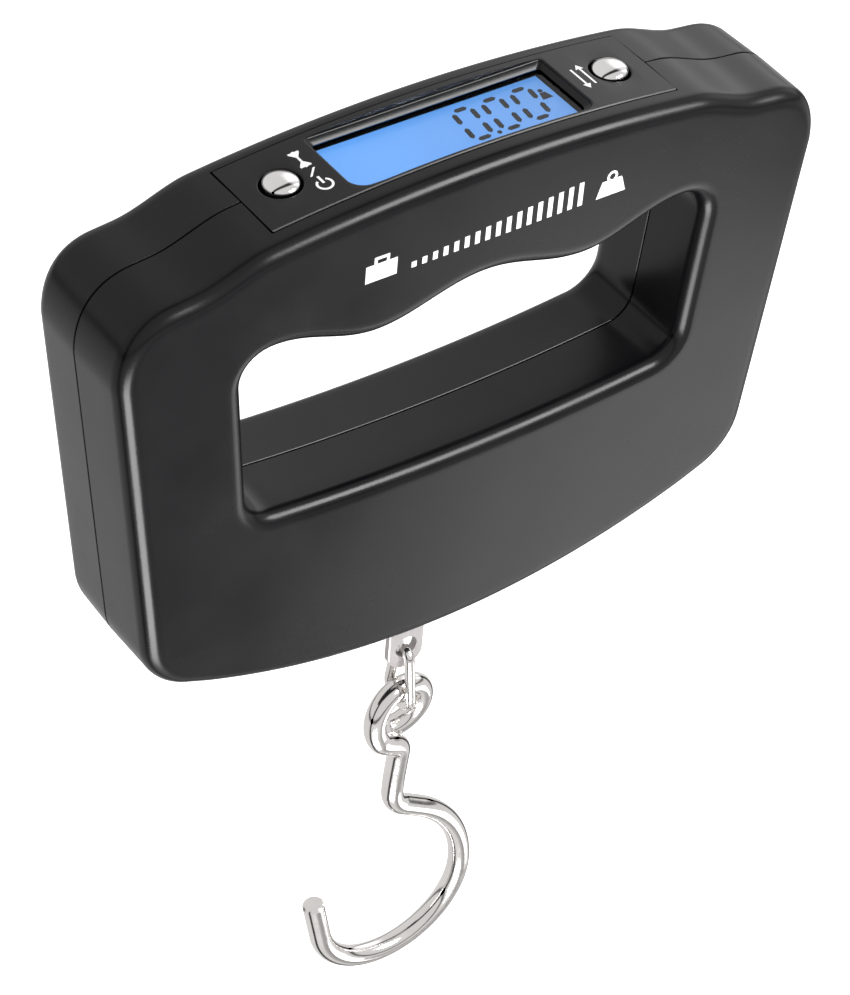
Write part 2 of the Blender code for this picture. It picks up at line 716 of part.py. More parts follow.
def button_cap(name, x):
    """Domed cap with a flange under the panel and a stem over the switch."""
    dome_edge = CAP_TOP_Z - 1.25
    profile = [(CAP_RADIUS * math.sin(a), dome_edge + 1.25 * math.cos(a))
               for a in (math.radians(15 * i) for i in range(7))]
    profile[0] = (0, CAP_TOP_Z)
    profile += [
        (CAP_RADIUS, CAP_FLANGE_Z[1]),
        (CAP_FLANGE_RADIUS, CAP_FLANGE_Z[1]),
        (CAP_FLANGE_RADIUS, CAP_FLANGE_Z[0]),
        (1.5, CAP_FLANGE_Z[0]),
        (1.5, CAP_STEM_Z),
        (0, CAP_STEM_Z),
    ]
    profile = [(radius, height - CAP_STEM_Z) for radius, height in profile]
    return finish(turned(name, profile, (x, 0, CAP_STEM_Z)), CHROME)


# ---------------------------------------------------------------- load cell and its strap

def cell_middle():
    return (CELL_Z[0] + CELL_Z[1]) / 2


def load_cell():
    """Bending beam whose two joined bores leave thin webs above and below."""
    beam = box("load_cell", CELL_X, CELL_Y, CELL_Z)
    left, right = CELL_BORE_X
    middle = cell_middle()
    reach = math.degrees(math.asin(1.0 / CELL_BORE_RADIUS))
    window = arc((left, middle), CELL_BORE_RADIUS, reach, 360 - reach, 16)
    window += arc((right, middle), CELL_BORE_RADIUS, 180 + reach, 540 - reach, 16)
    cut(beam, plate("load_cell_window", [window], "Y", (CELL_Y[0] - 1, CELL_Y[1] + 1)))
    holes = [(x, middle) for x in CELL_SCREW_X] + [(0.0, z) for z in STRAP_SCREW_Z]
    for index, place in enumerate(holes):
        cut(beam, cylinder(f"load_cell_hole_{index}", SMALL_HOLE_RADIUS, "Y", (-9.0, -4.0), place, 12))
    return finish(beam, ALUMINIUM)


def strain_gauge(name, z):
    y = (CELL_Y[0] + 0.3, CELL_Y[1] - 0.3)
    return finish(box(name, (CELL_BORE_X[0] - 4.5, CELL_BORE_X[0] + 4.5), y, z), FOIL)


def load_cell_screws():
    for name, x in zip(("load_cell_screw_left", "load_cell_screw_right"), CELL_SCREW_X):
        screw(name, (x, CELL_Y[1] + GAP, cell_middle()), "-Y", (2.3, 1.3), 6.4)


def strap_screws():
    seat = STRAP_TAB_Y + STRAP_THICK / 2 + GAP
    for name, z in zip(("strap_screw_upper", "strap_screw_lower"), STRAP_SCREW_Z):
        screw(name, (0, seat, z), "-Y", (2.2, 0.9), 5.0)


def hanger_strap():
    """Flat steel strap: a screwed tab, a jog back to the parting plane, and an end with a hole."""
    end_centre = (0, STRAP_END_Z + STRAP_HALF)
    face = [(STRAP_HALF, STRAP_TOP_Z), (-STRAP_HALF, STRAP_TOP_Z)]
    face += arc(end_centre, STRAP_HALF, 180, 360, 10)
    hole = arc((0, STRAP_HOLE_Z), STRAP_HOLE_RADIUS, 0, 345, 23)
    strap = plate("hanger_strap", [face, hole], "Y", (-6.0, 2.0))
    side = [(STRAP_TAB_Y, STRAP_TOP_Z + 1), (STRAP_TAB_Y, -60.9), (0, -65.2), (0, STRAP_END_Z - 1)]
    combine(strap, plate("strap_side", [band(side, STRAP_THICK)], "X", (-6.0, 6.0)), "INTERSECT")
    for index, z in enumerate(STRAP_SCREW_Z):
        cut(strap, cylinder(f"strap_screw_hole_{index}", SMALL_HOLE_RADIUS, "Y", (-6.0, 0.0), (0, z), 12))
    return finish(strap, STEEL)


def chain_link():
    """Closed ring across the strap: a small arc in the strap's hole, a wider one in the hook's eye."""
    top = (0, LINK_TOP_Z - LINK_TOP_RADIUS)
    bottom = (0, LINK_BOTTOM_Z + LINK_BOTTOM_RADIUS)
    lean = math.degrees(math.asin((LINK_BOTTOM_RADIUS - LINK_TOP_RADIUS) / (top[1] - bottom[1])))
    ring = arc(top, LINK_TOP_RADIUS, lean, 180 - lean, 8)
    ring += arc(bottom, LINK_BOTTOM_RADIUS, 180 - lean, 360 + lean, 12)
    points = [(0, y, z) for y, z in ring]
    link = wire("chain_link", points, LINK_WIRE, closed=True, origin=(0, 0, LINK_TOP_Z))
    return finish(link, NICKEL)


def hook_eye():
    """Open eye: up from the neck in front, over the top, and round behind it to the wire's end."""
    start, sweep, steps = -150.0, 305.0, 26
    points = []
    for i in range(steps + 1):
        swept = sweep * i / steps
        angle = math.radians(start - swept)
        turn = swept / 380.0
        y = -2.1 + 4.8 * turn * (1.6 - 0.6 * turn)
        points.append((EYE_RADIUS * math.cos(angle), y, EYE_Z + EYE_RADIUS * math.sin(angle)))
    return points


def hook_bowl():
    """Shank's bend, long flank, round bowl and straight tip, in the plane of the housing."""
    neck_centre = (SHANK_X + NECK_RADIUS, SHANK_END_Z)
    across = neck_centre[0] - FLANK_CENTRE[0]
    up = neck_centre[1] - FLANK_CENTRE[1]
    lean = math.degrees(math.atan2(up, across) - math.acos((FLANK_RADIUS + NECK_RADIUS) / math.hypot(up, across)))
    points = arc(neck_centre, NECK_RADIUS, 180, 180 + lean, 5)
    points += arc(FLANK_CENTRE, FLANK_RADIUS, lean, 0, 7)
    bowl_centre = (FLANK_CENTRE[0] + FLANK_RADIUS - BOWL_RADIUS, FLANK_CENTRE[1])
    points += arc(bowl_centre, BOWL_RADIUS, 0, -BOWL_SWEEP, 22)[1:]
    heading = math.radians(270 - BOWL_SWEEP)
    end_x, end_z = points[-1]
    points.append((end_x + TIP_LENGTH * math.cos(heading), end_z + TIP_LENGTH * math.sin(heading)))
    return [(x, 0.0, z) for x, z in points]


def hook():
    eye = hook_eye()
    start = eye[0]
    below = (SHANK_X, start[1], -109.5)
    lean = (start[0] + 1.1, start[1], start[2] - 1.9)
    neck = bezier(below, (SHANK_X, start[1], -106.5), lean, start, 6)[:-1]
    bowl = hook_bowl()
    points = eye[::-1] + neck[::-1] + [below] + bowl
    obj = wire("hook", points, HOOK_WIRE, origin=(0, 0, EYE_Z + EYE_RADIUS))
    return finish(obj, NICKEL)


# ---------------------------------------------------------------- batteries and wiring

def battery(name, z, plus_side):
    """AAA cell along X, with its button at plus_side."""
    radius = CELL_DIAMETER / 2
    half = CELL_LENGTH / 2
    profile = [
        (0, half), (1.9, half), (1.9, half - 1.0), (4.4, half - 1.0), (radius, half - 1.6),
        (radius, 0.6 - half), (radius - 0.6, -half), (0, -half),
    ]
    cell = turned(name, profile, sides=24)
    turn = Matrix.Rotation(math.radians(90 * plus_side), 4, "Y")
    cell.matrix_world = Matrix.Translation(Vector((0, BATTERY_Y, z)) * MM) @ turn
    return finish(cell, BATTERY_WRAP)


def contact_spring(name, z, side):
    """Coiled contact between a cell's flat end and the bay's end wall."""
    turns, per_turn = 2.5, 11
    near, length = CELL_LENGTH / 2 + 0.65, 1.85
    count = int(turns * per_turn)
    points = []
    for i in range(count + 1):
        angle = 2 * math.pi * i / per_turn
        radius = 2.0 + 0.6 * i / count
        points.append((side * (near + length * i / count),
                       BATTERY_Y + radius * math.cos(angle), z + radius * math.sin(angle)))
    return finish(wire(name, points, 0.6), NICKEL)


def contact_plate_upper():
    """Bowed strip that presses on the upper cell's button."""
    bow = [(-25.5, 0.6), (-25.5, 2.2), (-23.4, 4.2), (-22.85, 5.1), (-23.4, 6.0), (-25.5, 8.0), (-25.5, 9.6)]
    z = (BATTERY_Z[0] - 2.8, BATTERY_Z[0] + 2.8)
    return finish(plate("contact_plate_upper", [band(bow, 0.4)], "Z", z), NICKEL)


def contact_bridge():
    """Plate that joins the two cells at the bay's right end, with a boss for the lower one."""
    bridge = box("contact_bridge", (25.3, 25.8), (0.8, 9.6), (-58.4, -37.6))
    boss = cylinder("contact_bridge_boss", 2.2, "X", (22.6, 25.5), (BATTERY_Y, BATTERY_Z[1]), 20)
    join(bridge, boss)
    return finish(bridge, NICKEL)


def lead(name, route, diameter, look):
    return finish(wire(name, smooth_route(route, 3), diameter), look)


def wiring():
    lead("battery_lead_positive", [
        (-25.0, 1.3, -39.0), (-27.2, 1.3, -39.0), (-33.0, 1.6, -37.5), (-44.0, 2.2, -33.5),
        (-50.5, 2.6, -24.0), (-51.5, 3.0, -10.0), (-48.0, 3.0, -1.0), (-43.0, 3.0, 4.5),
        (-36.5, 3.0, 6.2), (-29.0, 3.0, 7.0), (-25.4, 3.0, 7.9), (-25.0, 3.0, 9.6),
    ], 1.0, WIRE_RED)
    lead("battery_lead_negative", [
        (-25.0, 1.3, -57.4), (-27.2, 1.3, -57.4), (-33.0, 1.4, -56.0), (-40.0, 1.8, -49.0),
        (-46.5, 2.4, -39.0), (-53.0, 3.6, -26.0), (-54.0, 4.8, -12.0), (-50.0, 5.6, -2.0),
        (-44.5, 6.0, 4.0), (-37.0, 6.0, 6.0), (-28.5, 6.0, 6.8), (-22.4, 6.0, 7.9), (-22.0, 6.0, 9.6),
    ], 1.0, WIRE_BLACK)
    lead("cell_cable", [
        (-33.0, -6.3, -37.6), (-38.0, -6.3, -36.8), (-45.0, -6.0, -32.5), (-50.5, -6.0, -24.0),
        (-52.0, -6.0, -12.0), (-49.0, -6.0, -3.0), (-44.0, -6.0, 3.4), (-37.0, -5.5, 5.7),
        (-29.5, -4.5, 6.7), (-25.4, -4.0, 7.8), (-25.0, -4.0, 9.6),
    ], 1.6, WIRE_GREY)


# ---------------------------------------------------------------- assembly

def build():
    front_shell()
    rear_shell()
    battery_door()
    case_screws()
    display_panel()
    lcd_lens()
    lcd_glass()
    lcd_frame()
    backlight_plate()
    zebra_strip()
    main_board()
    controller_chip()
    for label, x in (("tare", -BUTTON_X), ("unit", BUTTON_X)):
        button_cap(f"button_{label}_cap", x)
        tact_switch(f"tact_switch_{label}", x)
        switch_plunger(f"switch_plunger_{label}", x)
    load_cell()
    strain_gauge("strain_gauge_top", (CELL_Z[1] + GAP, CELL_Z[1] + GAP + 0.3))
    strain_gauge("strain_gauge_bottom", (CELL_Z[0] - GAP - 0.3, CELL_Z[0] - GAP))
    load_cell_screws()
    strap_screws()
    hanger_strap()
    chain_link()
    hook()
    battery("battery_upper", BATTERY_Z[0], -1)
    battery("battery_lower", BATTERY_Z[1], 1)
    contact_spring("contact_spring_upper", BATTERY_Z[0], 1)
    contact_spring("contact_spring_lower", BATTERY_Z[1], -1)
    contact_plate_upper()
    contact_bridge()
    wiring()


build()
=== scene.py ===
"""Looks of the digital luggage scale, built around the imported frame.

Sizes in this file are in millimetres and are turned into metres where a mesh is made. +X is the
user's right, +Y points away from the user and +Z up; the origin is the grip bar's underside.
"""

import json
import math

import bmesh
import bpy
from mathutils import Matrix, Vector


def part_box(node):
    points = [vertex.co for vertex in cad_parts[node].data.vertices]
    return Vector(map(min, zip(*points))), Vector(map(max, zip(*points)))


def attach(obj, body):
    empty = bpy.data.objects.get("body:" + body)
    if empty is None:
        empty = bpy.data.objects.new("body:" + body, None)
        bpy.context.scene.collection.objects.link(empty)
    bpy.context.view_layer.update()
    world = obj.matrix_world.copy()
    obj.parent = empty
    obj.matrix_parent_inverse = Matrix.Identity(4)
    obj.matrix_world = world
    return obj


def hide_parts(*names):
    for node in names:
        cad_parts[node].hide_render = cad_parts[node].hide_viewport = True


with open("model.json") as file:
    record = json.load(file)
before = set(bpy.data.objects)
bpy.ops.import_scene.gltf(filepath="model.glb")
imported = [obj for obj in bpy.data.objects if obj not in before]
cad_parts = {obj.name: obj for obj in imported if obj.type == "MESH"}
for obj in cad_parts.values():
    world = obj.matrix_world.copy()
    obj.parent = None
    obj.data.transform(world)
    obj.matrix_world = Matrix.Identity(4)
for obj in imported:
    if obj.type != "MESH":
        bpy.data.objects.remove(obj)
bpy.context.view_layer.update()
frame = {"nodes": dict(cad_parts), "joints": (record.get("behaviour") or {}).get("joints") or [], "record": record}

MM = 0.001
GAP = 0.3                    # left between pieces that touch on the real object
SMOOTH_ANGLE = 35            # edges sharper than this, in degrees, are shaded sharp


def node_box(node):
    """Lowest and highest corner of a CAD node, in millimetres."""
    low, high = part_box(node)
    return low / MM, high / MM


# ---------------------------------------------------------------- shape, from the frame

FRONT_LOW, FRONT_HIGH = node_box("front_shell")
REAR_LOW, REAR_HIGH = node_box("rear_shell")
PANEL_LOW, PANEL_HIGH = node_box("display_panel")
LENS_LOW, LENS_HIGH = node_box("lcd_lens")
GLASS_LOW, GLASS_HIGH = node_box("lcd_glass")
DOOR_HIGH = node_box("battery_door")[1]
STRAP_LOW, STRAP_HIGH = node_box("hanger_strap")
HOOK_LOW = node_box("hook")[0]
LINK_LOW, LINK_HIGH = node_box("chain_link")
JOINTS = {joint["name"]: joint for joint in frame["joints"]}

TOP_Z = FRONT_HIGH.z
SIDE_X = FRONT_HIGH.x
BOTTOM_Z = FRONT_LOW.z
WALL = 2.0
DRAFT = 0.2                  # each side wall leans in by this much from the seam to its face
RIM_FILLET = 2.6
HOLE_FILLET = 2.5
REAR_FILLET = 3.4
SEAM_CHAMFER = 0.08
ARCH_RADIUS = 290.0
ARCH_HALF = 38.0
SHOULDER = (50.0, 15.0)
SHOULDER_SLOPE = -0.12
CORNER_START = (54.0, 14.55)
SIDE_BOTTOM = (56.5, -56.9)
CORNER_RADIUS = 12.0
BELLY_RADIUS = 130.0
BELLY_HALF = 46.0

HOLE_CREST_HALF = 36.5
HOLE_BUMP_X = 18.6
HOLE_BUMP_DROP = 3.6
HOLE_CREST_Z = 0.6
HOLE_SIDE_TOP = (41.4, -4.2)
HOLE_SIDE_BOTTOM = (39.3, -30.4)
HOLE_CORNER_RADIUS = 5.0
HOLE_BOTTOM_Z = -32.5
HOLE_BELLY_RADIUS = 360.0
HOLE_BELLY_HALF = 30.0

PANEL_HALF = (35.5, 8.0)
VIEW_HALF = (20.2, 6.2)
WINDOW_HALF = (20.9, 6.8)    # top of the bezel, inside its rounded rim
WINDOW_SHIFT = -0.35         # the window lies a little nearer to the front
WINDOW_RIM = 0.35
WINDOW_CORNERS = (0.7, 0.7, 2.8, 1.6)
WELL_RIM = 0.3
BUTTON_X = sum(corner.x for corner in node_box("button_unit_cap")) / 2
CAP_RADIUS = 2.8
CAP_HOLE_RADIUS = 3.2


# ---------------------------------------------------------------- outlines

def arc(centre, radius, start, end, steps):
    angles = [math.radians(start + (end - start) * i / steps) for i in range(steps + 1)]
    return [(centre[0] + radius * math.cos(a), centre[1] + radius * math.sin(a)) for a in angles]


def bezier(start, handle_a, handle_b, end, steps):
    points = []
    for i in range(1, steps + 1):
        t = i / steps
        weights = ((1 - t) ** 3, 3 * t * (1 - t) ** 2, 3 * t * t * (1 - t), t ** 3)
        corners = (start, handle_a, handle_b, end)
        points.append(tuple(sum(w * c[k] for w, c in zip(weights, corners)) for k in range(len(start))))
    return points


def rounded_corner(before, corner, after, radius, steps):
    """Arc that rounds the corner between two straight stretches."""
    corner = Vector(corner)
    back = (Vector(before) - corner).normalized()
    ahead = (Vector(after) - corner).normalized()
    half_angle = back.angle(ahead) / 2
    centre = corner + (back + ahead).normalized() * (radius / math.sin(half_angle))
    start = corner + back * (radius / math.tan(half_angle)) - centre
    turn = back.angle_signed(-ahead)
    points = []
    for i in range(steps + 1):
        cos, sin = math.cos(-turn * i / steps), math.sin(-turn * i / steps)
        points.append((centre.x + start.x * cos - start.y * sin, centre.y + start.x * sin + start.y * cos))
    return points


def rounded_rectangle(half_x, half_y, radii, centre=(0, 0), steps=8):
    """Loop with its own radius at each corner: right far, left far, left near, right near."""
    if not isinstance(radii, tuple):
        radii = (radii,) * 4
    loop = []
    corners = ((1, 1, 0), (-1, 1, 90), (-1, -1, 180), (1, -1, 270))
    for (side_x, side_y, start), radius in zip(corners, radii):
        middle = (centre[0] + side_x * (half_x - radius), centre[1] + side_y * (half_y - radius))
        loop += arc(middle, radius, start, start + 90, steps)
    return loop


def mirrored(half):
    return half[::-1] + [(-x, z) for x, z in half[1:-1]]


def resampled(loop, count):
    """The same closed loop with its points spread evenly."""
    ring = [Vector(p) for p in loop] + [Vector(loop[0])]
    lengths = [0.0]
    for a, b in zip(ring, ring[1:]):
        lengths.append(lengths[-1] + (b - a).length)
    even, segment = [], 0
    for i in range(count):
        target = lengths[-1] * i / count
        while lengths[segment + 1] < target:
            segment += 1
        span = lengths[segment + 1] - lengths[segment]
        even.append(ring[segment].lerp(ring[segment + 1], (target - lengths[segment]) / span))
    return even


def offset_loop(loop, distance):
    """Grows a counter-clockwise loop by distance, or shrinks it when distance is negative."""
    moved = []
    for before, here, after in zip(loop[-1:] + loop[:-1], loop, loop[1:] + loop[:1]):
        along = (Vector(after) - Vector(before)).normalized()
        moved.append(Vector(here) + Vector((along.y, -along.x)) * distance)
    return moved


def arch_z(x, depth=0.0):
    return TOP_Z - ARCH_RADIUS + math.sqrt((ARCH_RADIUS - depth) ** 2 - x * x)


def belly_z(x):
    return BOTTOM_Z + BELLY_RADIUS - math.sqrt(BELLY_RADIUS ** 2 - x * x)


def hole_bottom_z(x):
    return HOLE_BOTTOM_Z + HOLE_BELLY_RADIUS - math.sqrt(HOLE_BELLY_RADIUS ** 2 - x * x)


def hole_top_z(x):
    """Underside of the grip bar: two bumps for the fingers, then a rise to the corners."""
    if x < HOLE_BUMP_X:
        return -HOLE_BUMP_DROP / 2 * (1 - math.cos(math.pi * x / HOLE_BUMP_X))
    rise = (HOLE_BUMP_DROP + HOLE_CREST_Z) / 2
    phase = math.pi * (x - HOLE_BUMP_X) / (HOLE_CREST_HALF - HOLE_BUMP_X)
    return -HOLE_BUMP_DROP + rise * (1 - math.cos(phase))


def housing_outline():
    half = [(x, arch_z(x)) for x in (ARCH_HALF * i / 40 for i in range(41))]
    arch_end = half[-1]
    arch_slope = -ARCH_HALF / math.sqrt(ARCH_RADIUS ** 2 - ARCH_HALF ** 2)
    reach = (SHOULDER[0] - ARCH_HALF) / 3
    half += bezier(
        arch_end,
        (arch_end[0] + reach, arch_end[1] + reach * arch_slope),
        (SHOULDER[0] - reach, SHOULDER[1] - reach * SHOULDER_SLOPE),
        SHOULDER, 30)
    half.append(CORNER_START)
    side_top = (SIDE_X, 3.0)
    half += bezier(CORNER_START, (59.5, 13.7), (SIDE_X, 9.5), side_top, 40)
    belly = [(x, belly_z(x)) for x in (BELLY_HALF * (1 - i / 40) for i in range(41))]
    half += rounded_corner(side_top, SIDE_BOTTOM, belly[0], CORNER_RADIUS, 40)
    half += belly
    return resampled(mirrored(half), 320)


def hand_hole_outline():
    crest = (HOLE_CREST_HALF, HOLE_CREST_Z)
    half = [(x, hole_top_z(x)) for x in (HOLE_CREST_HALF * i / 80 for i in range(81))]
    half += bezier(crest, (39.2, HOLE_CREST_Z), (HOLE_SIDE_TOP[0], -1.1), HOLE_SIDE_TOP, 40)
    belly = [(x, hole_bottom_z(x)) for x in (HOLE_BELLY_HALF * (1 - i / 30) for i in range(31))]
    half += rounded_corner(HOLE_SIDE_TOP, HOLE_SIDE_BOTTOM, belly[0], HOLE_CORNER_RADIUS, 40)
    half += belly
    return resampled(mirrored(half), 280)


# ---------------------------------------------------------------- mesh helpers

def new_object(name, bm):
    bmesh.ops.recalc_face_normals(bm, faces=bm.faces)
    mesh = bpy.data.meshes.new(name)
    bm.to_mesh(mesh)
    bm.free()
    mesh.shade_smooth()
    mesh.set_sharp_from_angle(angle=math.radians(SMOOTH_ANGLE))
    obj = bpy.data.objects.new(name, mesh)
    bpy.context.scene.collection.objects.link(obj)
    return obj


def add_ring(bm, points):
    return [bm.verts.new(Vector(p) * MM) for p in points]


def bridge(bm, first, second):
    for i in range(len(first)):
        j = (i + 1) % len(first)
        bm.faces.new((first[i], first[j], second[j], second[i]))


def bridge_all(bm, rings):
    for first, second in zip(rings, rings[1:]):
        bridge(bm, first, second)


def fill_between(bm, *rings):
    """Flat face bounded by one ring, or by an outer ring and its holes."""
    edges = []
    for ring in rings:
        for i, vert in enumerate(ring):
            edges.append(bm.edges.get((vert, ring[(i + 1) % len(ring)])))
    bmesh.ops.triangle_fill(bm, use_beauty=True, use_dissolve=False, edges=edges)


def loft(name, loops):
    """Closed solid through the loops, with a flat cap at each end."""
    bm = bmesh.new()
    rings = [add_ring(bm, loop) for loop in loops]
    bridge_all(bm, rings)
    fill_between(bm, rings[0])
    fill_between(bm, rings[-1])
    return new_object(name, bm)


def box(name, x, y, z):
    bm = bmesh.new()
    size = Vector((x[1] - x[0], y[1] - y[0], z[1] - z[0])) * MM
    middle = Vector((x[0] + x[1], y[0] + y[1], z[0] + z[1])) * (MM / 2)
    bmesh.ops.create_cube(bm, size=1.0, matrix=Matrix.Translation(middle) @ Matrix.Diagonal((*size, 1.0)))
    return new_object(name, bm)


def prism_y(name, loop, y):
    """Outline in x and z extruded along Y."""
    return loft(name, [[(p[0], level, p[1]) for p in loop] for level in y])


def turned(name, profile, place, facing="Z", sides=64):
    """Solid of revolution from (radius, height) points that start and end on its axis."""
    turn = {"Z": Matrix.Identity(4), "Y": Matrix.Rotation(math.radians(-90), 4, "X"),
            "X": Matrix.Rotation(math.radians(90), 4, "Y")}[facing]
    bm = bmesh.new()
    rings = []
    for radius, height in profile[1:-1]:
        angles = [2 * math.pi * i / sides for i in range(sides)]
        rings.append(add_ring(bm, [(radius * math.cos(a), radius * math.sin(a), height) for a in angles]))
    bridge_all(bm, rings)
    for ring, (_, height) in ((rings[0], profile[0]), (rings[-1], profile[-1])):
        tip = bm.verts.new(Vector((0, 0, height)) * MM)
        for i, vert in enumerate(ring):
            bm.faces.new((vert, ring[(i + 1) % sides], tip))
    bm.transform(Matrix.Translation(Vector(place) * MM) @ turn)
    return new_object(name, bm)


def combine(obj, tool, operation):
    """Applies a Boolean with the tool, and removes the tool."""
    modifier = obj.modifiers.new("combine", "BOOLEAN")
    modifier.operation = operation
    modifier.solver = "EXACT"
    modifier.object = tool
    bpy.context.view_layer.update()
    depsgraph = bpy.context.evaluated_depsgraph_get()
    mesh = bpy.data.meshes.new_from_object(obj.evaluated_get(depsgraph))
    obj.modifiers.clear()
    obj.data = mesh
    mesh.shade_smooth()
    mesh.set_sharp_from_angle(angle=math.radians(SMOOTH_ANGLE))
    bpy.data.objects.remove(tool)


def cut(obj, *tools):
    for tool in tools:
        combine(obj, tool, "DIFFERENCE")


def join(obj, *tools):
    for tool in tools:
        combine(obj, tool, "UNION")


def sweep(name, points, radius, closed=False, sides=28, end_scale=0.82):
    """Round wire along the points, with slightly broken edges at its cut ends."""
    path = [Vector(p) for p in points]
    count = len(path)
    tangents = []
    for i in range(count):
        if closed:
            tangents.append((path[(i + 1) % count] - path[i - 1]).normalized())
        else:
            tangents.append((path[min(i + 1, count - 1)] - path[max(i - 1, 0)]).normalized())
    side = tangents[0].orthogonal().normalized()
    rings = []
    for here, tangent in zip(path, tangents):
        side = (side - tangent * side.dot(tangent)).normalized()
        up = tangent.cross(side)
        angles = [2 * math.pi * i / sides for i in range(sides)]
        rings.append([here + (side * math.cos(a) + up * math.sin(a)) * radius for a in angles])
    if closed:
        bm = bmesh.new()
        verts = [add_ring(bm, ring) for ring in rings]
        bridge_all(bm, verts)
        twist = min(range(sides), key=lambda k: (verts[0][k].co - verts[-1][0].co).length)
        bridge(bm, verts[-1], verts[0][twist:] + verts[0][:twist])
        return new_object(name, bm)
    chamfer = radius * (1 - end_scale)
    start = [path[0] + (p - path[0]) * end_scale for p in rings[0]]
    end = [path[-1] + (p - path[-1]) * end_scale for p in rings[-1]]
    rings[0] = [p + tangents[0] * chamfer for p in rings[0]]
    rings[-1] = [p - tangents[-1] * chamfer for p in rings[-1]]
    return loft(name, [start, *rings, end])


# ---------------------------------------------------------------- materials

def node(tree, kind, **values):
    made = tree.nodes.new(kind)
    for key, value in values.items():
        setattr(made, key, value)
    return made


def noise(tree, coordinates, scale, detail=3.0, roughness=0.5):
    texture = node(tree, "ShaderNodeTexNoise")
    texture.inputs["Scale"].default_value = scale
    texture.inputs["Detail"].default_value = detail
    texture.inputs["Roughness"].default_value = roughness
    tree.links.new(coordinates, texture.inputs["Vector"])
    return texture


def mapped(tree, value, low, high, source=(0.3, 0.7)):
    """Spreads a noise value between low and high."""
    ramp = node(tree, "ShaderNodeMapRange")
    ramp.inputs["From Min"].default_value = source[0]
    ramp.inputs["From Max"].default_value = source[1]
    ramp.inputs["To Min"].default_value = low
    ramp.inputs["To Max"].default_value = high
    tree.links.new(value, ramp.inputs["Value"])
    return ramp.outputs["Result"]


def start_material(name):
    material = bpy.data.materials.new(name)
    material.use_nodes = True
    tree = material.node_tree
    shader = tree.nodes["Principled BSDF"]
    coordinates = node(tree, "ShaderNodeTexCoord").outputs["Object"]
    return material, tree, shader, coordinates


def tint(tree, shader, colour, other, factor):
    """Blends two nearby colours by a noise value."""
    mix = node(tree, "ShaderNodeMix", data_type="RGBA")
    mix.inputs["A"].default_value = (*colour, 1)
    mix.inputs["B"].default_value = (*other, 1)
    tree.links.new(factor, mix.inputs["Factor"])
    tree.links.new(mix.outputs["Result"], shader.inputs["Base Color"])


def bump(tree, shader, height, strength, distance_mm):
    made = node(tree, "ShaderNodeBump")
    made.inputs["Strength"].default_value = strength
    made.inputs["Distance"].default_value = distance_mm * MM
    tree.links.new(height, made.inputs["Height"])
    tree.links.new(made.outputs["Normal"], shader.inputs["Normal"])


def moulded_plastic(name, colour, roughness, grain=0.25, grain_mm=0.35, spread=0.04, shine=0.5):
    """Moulded plastic: fine spark-eroded grain, faint mottling and uneven sheen."""
    material, tree, shader, coordinates = start_material(name)
    fine = noise(tree, coordinates, 1 / (grain_mm * MM), 2.0)
    broad = noise(tree, coordinates, 60.0, 4.0)
    lighter = tuple(c * 1.25 + 0.002 for c in colour)
    tint(tree, shader, colour, lighter, mapped(tree, broad.outputs["Fac"], 0, 1))
    shader.inputs["Specular IOR Level"].default_value = shine
    sheen = mapped(tree, broad.outputs["Fac"], roughness - spread, roughness + spread)
    tree.links.new(sheen, shader.inputs["Roughness"])
    bump(tree, shader, fine.outputs["Fac"], grain, 0.03)
    return material


def polished_metal(name, colour, roughness, streak=(1.0, 1.0, 1.0), scratch=0.05):
    """Plated or rolled metal with soft streaks along one direction."""
    material, tree, shader, coordinates = start_material(name)
    stretch = node(tree, "ShaderNodeMapping")
    stretch.inputs["Scale"].default_value = streak
    tree.links.new(coordinates, stretch.inputs["Vector"])
    lines = noise(tree, stretch.outputs["Vector"], 900.0, 3.0)
    broad = noise(tree, coordinates, 120.0, 3.0)
    shader.inputs["Metallic"].default_value = 1.0
    darker = tuple(c * 0.9 for c in colour)
    tint(tree, shader, colour, darker, mapped(tree, broad.outputs["Fac"], 0, 1))
    finish = mapped(tree, lines.outputs["Fac"], roughness * 0.75, roughness * 1.35)
    tree.links.new(finish, shader.inputs["Roughness"])
    bump(tree, shader, lines.outputs["Fac"], scratch, 0.01)
    return material


def lit_display(name):
    """Backlit LCD: blue light that weakens a little towards the right end."""
    material, tree, shader, coordinates = start_material(name)
    cloud = noise(tree, coordinates, 35.0, 1.0)
    mix = node(tree, "ShaderNodeMix", data_type="RGBA")
    mix.inputs["A"].default_value = (0.095, 0.36, 0.90, 1)
    mix.inputs["B"].default_value = (0.135, 0.41, 0.95, 1)
    tree.links.new(mapped(tree, cloud.outputs["Fac"], 0, 1), mix.inputs["Factor"])
    tree.links.new(mix.outputs["Result"], shader.inputs["Emission Color"])
    along_x = node(tree, "ShaderNodeSeparateXYZ")
    tree.links.new(coordinates, along_x.inputs["Vector"])
    glow = mapped(tree, along_x.outputs["X"], 0.98, 0.72, (-14 * MM, 20 * MM))
    tree.links.new(glow, shader.inputs["Emission Strength"])
    shader.inputs["Base Color"].default_value = (0.01, 0.03, 0.08, 1)
    shader.inputs["Roughness"].default_value = 0.35
    return material


def clear_plastic(name):
    material, tree, shader, coordinates = start_material(name)
    haze = noise(tree, coordinates, 90.0, 2.0)
    tree.links.new(mapped(tree, haze.outputs["Fac"], 0.0, 0.02), shader.inputs["Roughness"])
    shader.inputs["Base Color"].default_value = (0.95, 0.97, 1.0, 1)
    shader.inputs["Transmission Weight"].default_value = 1.0
    shader.inputs["IOR"].default_value = 1.25
    shader.inputs["Specular IOR Level"].default_value = 0.2
    return material


